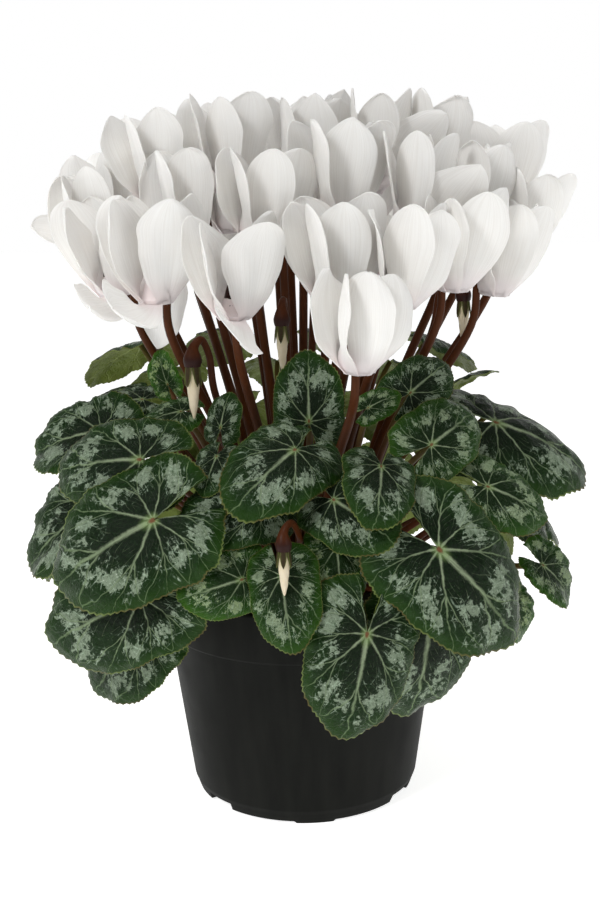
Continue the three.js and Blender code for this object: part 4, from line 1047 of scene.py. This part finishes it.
vein_grid = vein_place(leaf_angle, leaf_share)
for number, (three, azimuth, foot_at) in enumerate(clusters):
    across_foot = np.array([math.cos(azimuth), math.sin(azimuth), 0.0])
    parts = []
    for i, form in enumerate(three):
        draw, index = seeded(3300 + form["index"]), form["index"]
        middle, x, y = leaf_surface(form, leaf_angle, leaf_share, leaf_edge)
        # The pattern of each leaf lies in its own stretch of the plane, so that no two are alike.
        values = {"u": vein_grid, "v": leaf_share, "x": x + 3.7 * index, "y": y + 1.3 * index}
        tone = YOUNG.get(index, 0.12 + 0.12 * draw())
        parts.append(closed_sheet(middle, 0.62 - 0.3 * leaf_share**6, pole=True, tone=tone, **values))
        path = stalk_path(form, foot_at + (i - 1) * FOOT_SPREAD * across_foot)
        radius = STALK_RADIUS * np.concatenate([[1.2], np.linspace(1.15, 0.85, len(path) - 1)])
        parts.append(stalk_tube(path, radius, form["side"], sides=10, skin=1, tone=0.5))
    number = f"{number + 1:02d}"
    skins = [leaf_blade, stalk_skin]
    piece_of("leaves_" + number, parts, skins, ["leaf_cluster_" + number], sharp=60)

# ------------------------------
# The studio: a pale floor, a large soft light from the upper left, one from above and a weak one
# from the right, and the camera at the photograph's height and angle.
# ------------------------------
floor_mesh = bpy.data.meshes.new("studio_floor")
floor_mesh.from_pydata([(-6, -6, 0), (6, -6, 0), (6, 6, 0), (-6, 6, 0)], [], [(0, 1, 2, 3)])
floor = bpy.data.objects.new("studio_floor", floor_mesh)
bpy.context.scene.collection.objects.link(floor)
# White paper, lit from below a little, so that it comes out as white as the backdrop.
paper, tree = material_of("white_paper")
finish_material(
    {
        "Base Color": "#ececea", "Roughness": 0.9, "Emission Color": "#ffffff",
        "Emission Strength": 0.82,
    }
)
floor_mesh.materials.append(paper)

# The white room: brightest behind the plant and low down, and 0.4 as bright elsewhere.
world = bpy.data.worlds.new("studio")
bpy.context.scene.world = world
world.use_nodes = True
tree = world.node_tree
tree.nodes.clear()
heading = node("SeparateXYZ", (node("TexCoord", out="Generated"),), out="Y")
above = heading.node.outputs["Z"]
behind = node("MapRange.SMOOTHSTEP", (heading, 0.35, 0.86, 0.4, 1.0))
low = node("MapRange.SMOOTHSTEP", (above, 0.18, 0.5, 1.0, 0.4))
strength = node("Math.MULTIPLY", (behind, low))
sky = node("Background", {"Color": "#ffffff", "Strength": strength})
node("OutputWorld", {"Surface": sky})
LIT_POINT = np.array([0, 0, 0.2])


def softbox(name, at, size, power):
    """A square soft light that looks at the lit point."""
    light = bpy.data.lights.new(name, "AREA")
    light.shape, light.size, light.energy = "SQUARE", size, power
    made = bpy.data.objects.new(name, light)
    bpy.context.scene.collection.objects.link(made)
    back = unit(np.array(at, float) - LIT_POINT)
    right = unit(np.cross(UP, back) if abs(back[2]) < 0.99 else np.array([1.0, 0, 0]))
    turn = np.stack([right, np.cross(back, right), back], axis=1)
    made.matrix_world = Matrix.Translation(at) @ Matrix(turn.tolist()).to_4x4()


softbox("key_light", (-0.8, -0.9, 1.1), 0.4, 10.5)
softbox("top_light", (0.1, -0.1, 1.5), 0.6, 5)
softbox("fill_light", (1.1, -0.8, 0.7), 0.4, 2.4)

# The camera looks down by the tilt and is rolled a little, as in the photograph.
CAMERA_AT, CAMERA_TILT, CAMERA_ROLL = (0, -0.610, 0.288), 11.3, -1.0
lens = bpy.data.cameras.new("camera")
lens.lens, lens.sensor_width, lens.clip_start = 52, 36, 0.01
camera = bpy.data.objects.new("camera", lens)
bpy.context.scene.collection.objects.link(camera)
camera.matrix_world = (
    Matrix.Translation(CAMERA_AT)
    @ Matrix.Rotation(math.radians(90 - CAMERA_TILT), 4, "X")
    @ Matrix.Rotation(math.radians(CAMERA_ROLL), 4, "Z")
)
bpy.context.scene.camera = camera
bpy.context.scene.view_settings.view_transform = "Standard"
